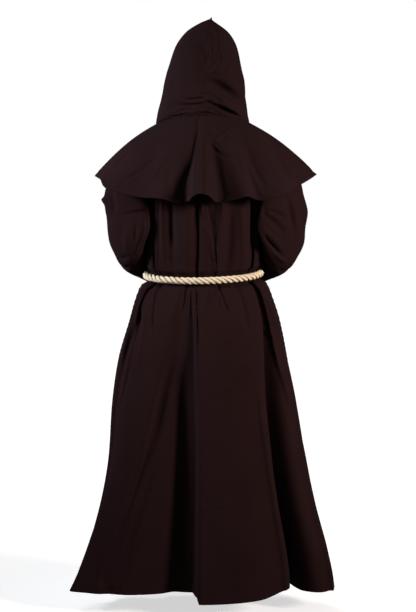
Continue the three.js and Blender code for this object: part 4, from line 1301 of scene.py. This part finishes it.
# The cape: angle, and the distance down the cloth
cape = {
    "columns": 150,
    "columnPower": 1.2,
    "allowance": 6,
    "creaseStrength": 1.1,
    "lapReach": (95, 150),  # at the neck and at the hem
}
capeCreases = creasesOn(
    capePoint,
    cape["creaseStrength"],
    [
        [
            [(8.5, 18), (8.2, 60), (8.4, 105), (10, 147), (13.5, 187), (17, 216), (20, 250)],
            11, 4.5, -5.5, 0.7, 0.6,
        ],
        [[(-5, 77), (-10, 152), (-13, 212), (-16, 262)], 12, 24, -6, 0, 0.7],
        [[(-4.4, 98), (-15, 138), (-30, 160)], 4, 4, -4, 0.4, 0.2],
        [[(-5.5, 92), (-16, 122), (-28, 140)], 6, 6, 3, 0.2, 0],
        [[(-3.5, 84), (-12, 104), (-18, 128)], 4, 4, -3.4, 0.4, 0.1],
        [[(-9.5, 88), (-24.5, 52), (-34, 36)], 4, 4, -4.5, 0.3, 0.3],
        [[(-13, 104), (-27, 66), (-37, 50)], 6, 6, 3, 0.2, 0.2],
        [[(-14, 58), (-22, 40), (-30, 20)], 4, 4, -3, 0.3, 0.3],
        [[(-40, 165), (-46.2, 232), (-50.5, 272)], 2.8, 3.2, -3.4, 0.3, 1],
        [[(-36.5, 160), (-41.5, 225), (-45, 270)], 9, 8, 3.6, 0, 0.8],
        [[(-58, 120), (-62, 200), (-64, 272)], 12, 9, -4, 0, 0.8],
        [[(-68, 140), (-68, 235), (-72, 272)], 10, 10, 3, 0.1, 0.6],
        [[(-78, 150), (-82, 215), (-86, 270)], 8, 9, -4, 0, 0.9],
        [[(38, 130), (50, 200), (57.5, 247), (59, 270)], 6, 6, -4, 0, 0.8],
        [[(44, 185), (50, 225), (56, 268)], 4, 5, -2.8, 0.1, 0.8],
        [[(29, 120), (38, 190), (46, 250)], 9, 9, 3.6, 0, 0.6],
        [[(26, 150), (28, 210), (27, 272)], 12, 12, -3, 0, 0.8],
        [[(70, 60), (76, 150), (82, 260)], 14, 14, 3, 0, 0.6],
        [[(66, 120), (68, 200), (70, 270)], 10, 10, -3.4, 0, 0.8],
        [[(14, 20), (24, 60), (36, 84)], 7, 7, 1.8, 0.5, 0],
        [[(104, 90), (108, 180), (110, 270)], 12, 12, -4, 0, 0.8],
        [[(124, 100), (127, 190), (126, 270)], 9, 10, 3.5, 0, 0.8],
        [[(146, 90), (147, 180), (148, 270)], 8, 8, -4, 0, 0.9],
        [[(170, 80), (169, 180), (168, 270)], 8, 8, 3, 0, 0.7],
        [[(-104, 90), (-107, 180), (-109, 270)], 12, 12, -4, 0, 0.8],
        [[(-122, 100), (-123, 190), (-124, 270)], 10, 9, 3.5, 0, 0.8],
        [[(-144, 90), (-145, 180), (-146, 270)], 8, 8, -4, 0, 0.9],
        [[(-171, 80), (-170, 180), (-169, 270)], 8, 8, 3, 0, 0.7],
    ],
)
capePanel = {
    "material": hoodCloth,
    "slot": "hood_cloth",
    "creases": capeCreases,
    "seams": ("left", "right", "top"),
    "hems": ("bottom",),
    "held": "draped",
}
shares = np.linspace(0, 1, cape["columns"])[None] ** cape["columnPower"]
distance = joined((0, 8, 1.6), (8, 254, 3.8), (254, 263, 4), (263, 273, 1.2), (273, capeLength, 2.5))
distance = distance[:, None]
lap = lapAngle(lerp(*cape["lapReach"], distance / capeLength))
grid = capePoint(lerp(neckSeamAngle - lap, 180 + lap, shares), distance)
grid = allowanceAbove(grid, cape["allowance"])
clothPiece("capeLeft", grid, "cape_left", restsOn=["sleeveLeft"], **capePanel)
grid = capePoint(lerp(-180 - lap, neckSeamAngle + lap, 1 - shares[:, ::-1]), distance)
grid = allowanceAbove(grid, cape["allowance"])
clothPiece("capeRight", grid, "cape_right", restsOn=["sleeveRight"], **capePanel)

# The hood: angle, and the share of the way up from the neck seam
hood = {
    "columns": 96,
    "columnPower": 1.2,
    "creaseStrength": 1,
    "lapReach": (9, 80),  # the half width, between these two
}
hoodCreases = creasesOn(
    hoodPoint,
    hood["creaseStrength"],
    [
        # over the crown and down behind the head
        [
            [
                (36, 0.735), (24, 0.766), (15, 0.764), (8, 0.745), (4, 0.715),
                (1, 0.66), (0, 0.586), (0, 0.508), (2, 0.436), (4, 0.36),
            ],
            12, 26, -9, 0.3, 0.1,
        ],
        [[(-3, 0.77), (-7, 0.72), (-8.5, 0.66), (-9, 0.6), (-9, 0.53)], 7, 8, 8, 0.3, 0.3],
        [
            [
                (36, 0.775), (22, 0.81), (8, 0.81), (-5, 0.785),
                (-12, 0.73), (-16, 0.66), (-16, 0.58), (-12, 0.46),
            ],
            10, 8, 3.5, 0.1, 0.2,
        ],
        [[(-31, 0.6), (-22, 0.53), (-13, 0.46)], 4.5, 6, 5, 0.2, 0.6],
        [[(-26, 0.66), (-23, 0.60), (-21, 0.54)], 6, 6, -3.5, 0.2, 0.1],
        [[(-40, 0.56), (-30, 0.49), (-17, 0.42)], 9, 9, -3, 0.2, 0.2],
        [[(2, 0.60), (-4, 0.585), (-8, 0.585)], 5, 5, -1.8, 0.1, 0.8],
        [[(4, 0.53), (-2, 0.515), (-6, 0.52)], 5, 5, 1.6, 0.1, 0.8],
        # the slump at the right
        [
            [(2, 0.352), (-10, 0.356), (-18, 0.345), (-32, 0.298), (-44, 0.262), (-62, 0.235)],
            15, 12, -3, 0.6, 0.5,
        ],
        [[(-8, 0.41), (-24, 0.395), (-40, 0.345), (-58, 0.31)], 10, 9, 3.5, 0.1, 0.1],
        [[(-4, 0.315), (-18, 0.305), (-32, 0.255), (-50, 0.21)], 5, 6, 4.5, 0.2, 0.2],
        [[(-6, 0.27), (-20, 0.262), (-34, 0.215), (-48, 0.175)], 5, 5, -3.5, 0.2, 0.2],
        [[(-15, 0.145), (-27, 0.129), (-39, 0.099), (-53, 0.058)], 4.4, 7, -14.5, 0.6, 0.4],
        [[(-13, 0.175), (-27, 0.162), (-44, 0.127), (-59, 0.085)], 6, 4.5, 7, 0.3, 0.5],
        # small ones above the neck seam
        [[(28, 0.215), (16, 0.20), (4, 0.208), (-3, 0.215)], 4, 4, -5, 0.3, 0.3],
        [[(24, 0.185), (12, 0.172), (0, 0.178)], 3.5, 4, 3.5, 0.2, 0.3],
        [[(30, 0.16), (18, 0.145), (6, 0.152), (-2, 0.148)], 3.5, 3.5, -4.5, 0.2, 0.3],
        [[(-3, 0.248), (-12, 0.24), (-24, 0.195)], 4, 4, -4.5, 0.6, 0.2],
        [[(-1, 0.205), (-10, 0.20), (-20, 0.165)], 3.5, 3.5, 3.5, 0.4, 0.3],
        [[(-2, 0.172), (-10, 0.165), (-19, 0.13)], 3.5, 3.5, -4, 0.5, 0.3],
        [[(8, 0.115), (-3, 0.122), (-12, 0.10), (-19, 0.062)], 3.5, 3.5, -5, 0.3, 0.5],
        [[(3, 0.092), (-5, 0.088), (-12, 0.06)], 3, 3, 3.2, 0.3, 0.3],
        [[(34, 0.09), (22, 0.108), (12, 0.085), (7, 0.05)], 4, 3.5, -4.5, 0.2, 0.4],
        [[(40, 0.13), (30, 0.118), (20, 0.13)], 4, 4, 3, 0.2, 0.2],
        [[(48, 0.052), (34, 0.034), (20, 0.046)], 3.5, 3, -4, 0.2, 0.6],
        [[(14, 0.05), (9, 0.03), (5, 0.028)], 2.8, 2.8, -3, 0.4, 0.4],
        [[(2, 0.045), (-10, 0.042), (-20, 0.03)], 3, 2.6, -3.6, 0.6, 0.6],
        # the sides and the front
        [[(52, 0.5), (46, 0.36), (44, 0.22)], 22, 18, -3, 0, 0],
        [[(60, 0.30), (66, 0.2), (74, 0.1)], 9, 9, -3, 0.1, 0.1],
        [[(70, 0.62), (72, 0.45), (76, 0.3)], 14, 14, 3, 0.1, 0.1],
        [[(-70, 0.6), (-74, 0.45), (-80, 0.33)], 14, 14, -3.5, 0.1, 0.1],
        [[(88, 0.52), (92, 0.4), (96, 0.27)], 10, 10, -4, 0.1, 0.3],
        [[(-90, 0.55), (-95, 0.42), (-100, 0.29)], 10, 10, 4, 0.1, 0.3],
        [[(100, 0.22), (108, 0.14), (120, 0.08)], 6, 6, -4, 0.1, 0.4],
        [[(-98, 0.2), (-108, 0.13), (-122, 0.08)], 6, 6, -4, 0.1, 0.4],
    ],
)
hoodPanel = {"material": hoodCloth, "slot": "hood_cloth", "creases": hoodCreases, "held": "draped"}
shares = np.linspace(0, 1, hood["columns"])[None] ** hood["columnPower"]
share = joined((1, 0.9, 0.008), (0.9, 0.04, 0.0085), (0.04, 0, 0.005))[:, None]
lap = lapAngle(np.clip(hoodRings["halfWidth"](share), *hood["lapReach"]))
seam, edge = hoodRings["seam"](share), hoodRings["face"](share)
grid = hoodPoint(lerp(seam - lap, edge + lap, shares), share)
sewn = {"seams": ("left", "bottom"), "hems": ("right",)}
clothPiece("hoodLeft", grid, "hood_left", restsOn=["capeLeft"], **hoodPanel, **sewn)
grid = hoodPoint(lerp(-edge - lap, seam + lap, 1 - shares[:, ::-1]), share)
sewn = {"seams": ("right", "bottom"), "hems": ("left",)}
clothPiece("hoodRight", grid, "hood_right", restsOn=["capeRight"], **hoodPanel, **sewn)
print("cloth made")

# The studio: a pale floor whose own glow, painted light, grows with distance so that it whitens, a warm key
# on the right and a cool one on the left
studio = {
    "floor": -1.53,
    "halfWidth": 40,
    "paper": (0.85, 0.85, 0.85, 1),
    "glow": (1.7, 3, 0.62, 1),  # from this far to that far, and how strong at each
    "air": 0.12,
}
wide, low = studio["halfWidth"] / mm, studio["floor"] / mm
floor = makeMesh(
    "floor",
    [[-wide, -wide, low], [wide, -wide, low], [wide, wide, low], [-wide, wide, low]],
    [[0, 1, 2, 3]],
)
paper, tree, shader = newMaterial("paper")
place = addNode(tree, "TexCoord").outputs["Object"]
far = addNode(tree, "VectorMath", {0: place}, operation="LENGTH").outputs["Value"]
glow = {"Value": far, **dict(zip(("From Min", "From Max", "To Min", "To Max"), studio["glow"]))}
fillSockets(tree, shader, {
    "Base Color": studio["paper"],
    "Roughness": 0.9,
    "Specular IOR Level": 0,
    "Emission Color": (1, 1, 1, 1),
    "Emission Strength": addNode(tree, "MapRange", glow).outputs["Result"],
})
floor.data.materials.append(paper)
floor.visible_diffuse = False  # the paper's glow doesn't light the cloth
floor.visible_glossy = False

lights = tableOf(
    "name place aim size power spread colour",
    [
        ["key", (-3.35, 2.4, 0.4), (0.0, 0.0, -0.55), 0.9, 20.5, 60, (1, 0.88, 0.84)],
        ["side", (3.3, 0.9, 0.7), (0.1, 0.0, -0.3), 0.9, 14, 50, (0.83, 0.89, 1)],
        ["behind", (0.9, -3.2, 1.6), (0.0, 0.0, -0.4), 1.2, 12, 90, (1, 1, 1)],
    ],
)
for light in lights:
    data = bpy.data.lights.new(light["name"], "AREA")
    data.energy = light["power"]
    data.size = light["size"]
    data.spread = math.radians(light["spread"])
    data.color = light["colour"]
    lamp = bpy.data.objects.new(light["name"], data)
    lamp.location = light["place"]
    away = Vector(light["aim"]) - Vector(light["place"])
    lamp.rotation_euler = away.to_track_quat("-Z", "Y").to_euler()
    scene.collection.objects.link(lamp)

# The air is white where it shows and dimmer as a light
world = bpy.data.worlds.new("studioAir")
world.use_nodes = True
tree = world.node_tree
shown = fillSockets(tree, tree.nodes["Background"], {"Color": (1, 1, 1, 1)})
dim = addNode(tree, "Background", {"Color": (1, 1, 1, 1), "Strength": studio["air"]})
seen = addNode(tree, "LightPath").outputs["Is Camera Ray"]
lit, white = dim.outputs["Background"], shown.outputs["Background"]
air = addNode(tree, "MixShader", {"Fac": seen, 1: lit, 2: white})
fillSockets(tree, tree.nodes["World Output"], {"Surface": air.outputs["Shader"]})
scene.world = world
scene.view_settings.view_transform = "Standard"
print("studio ready")
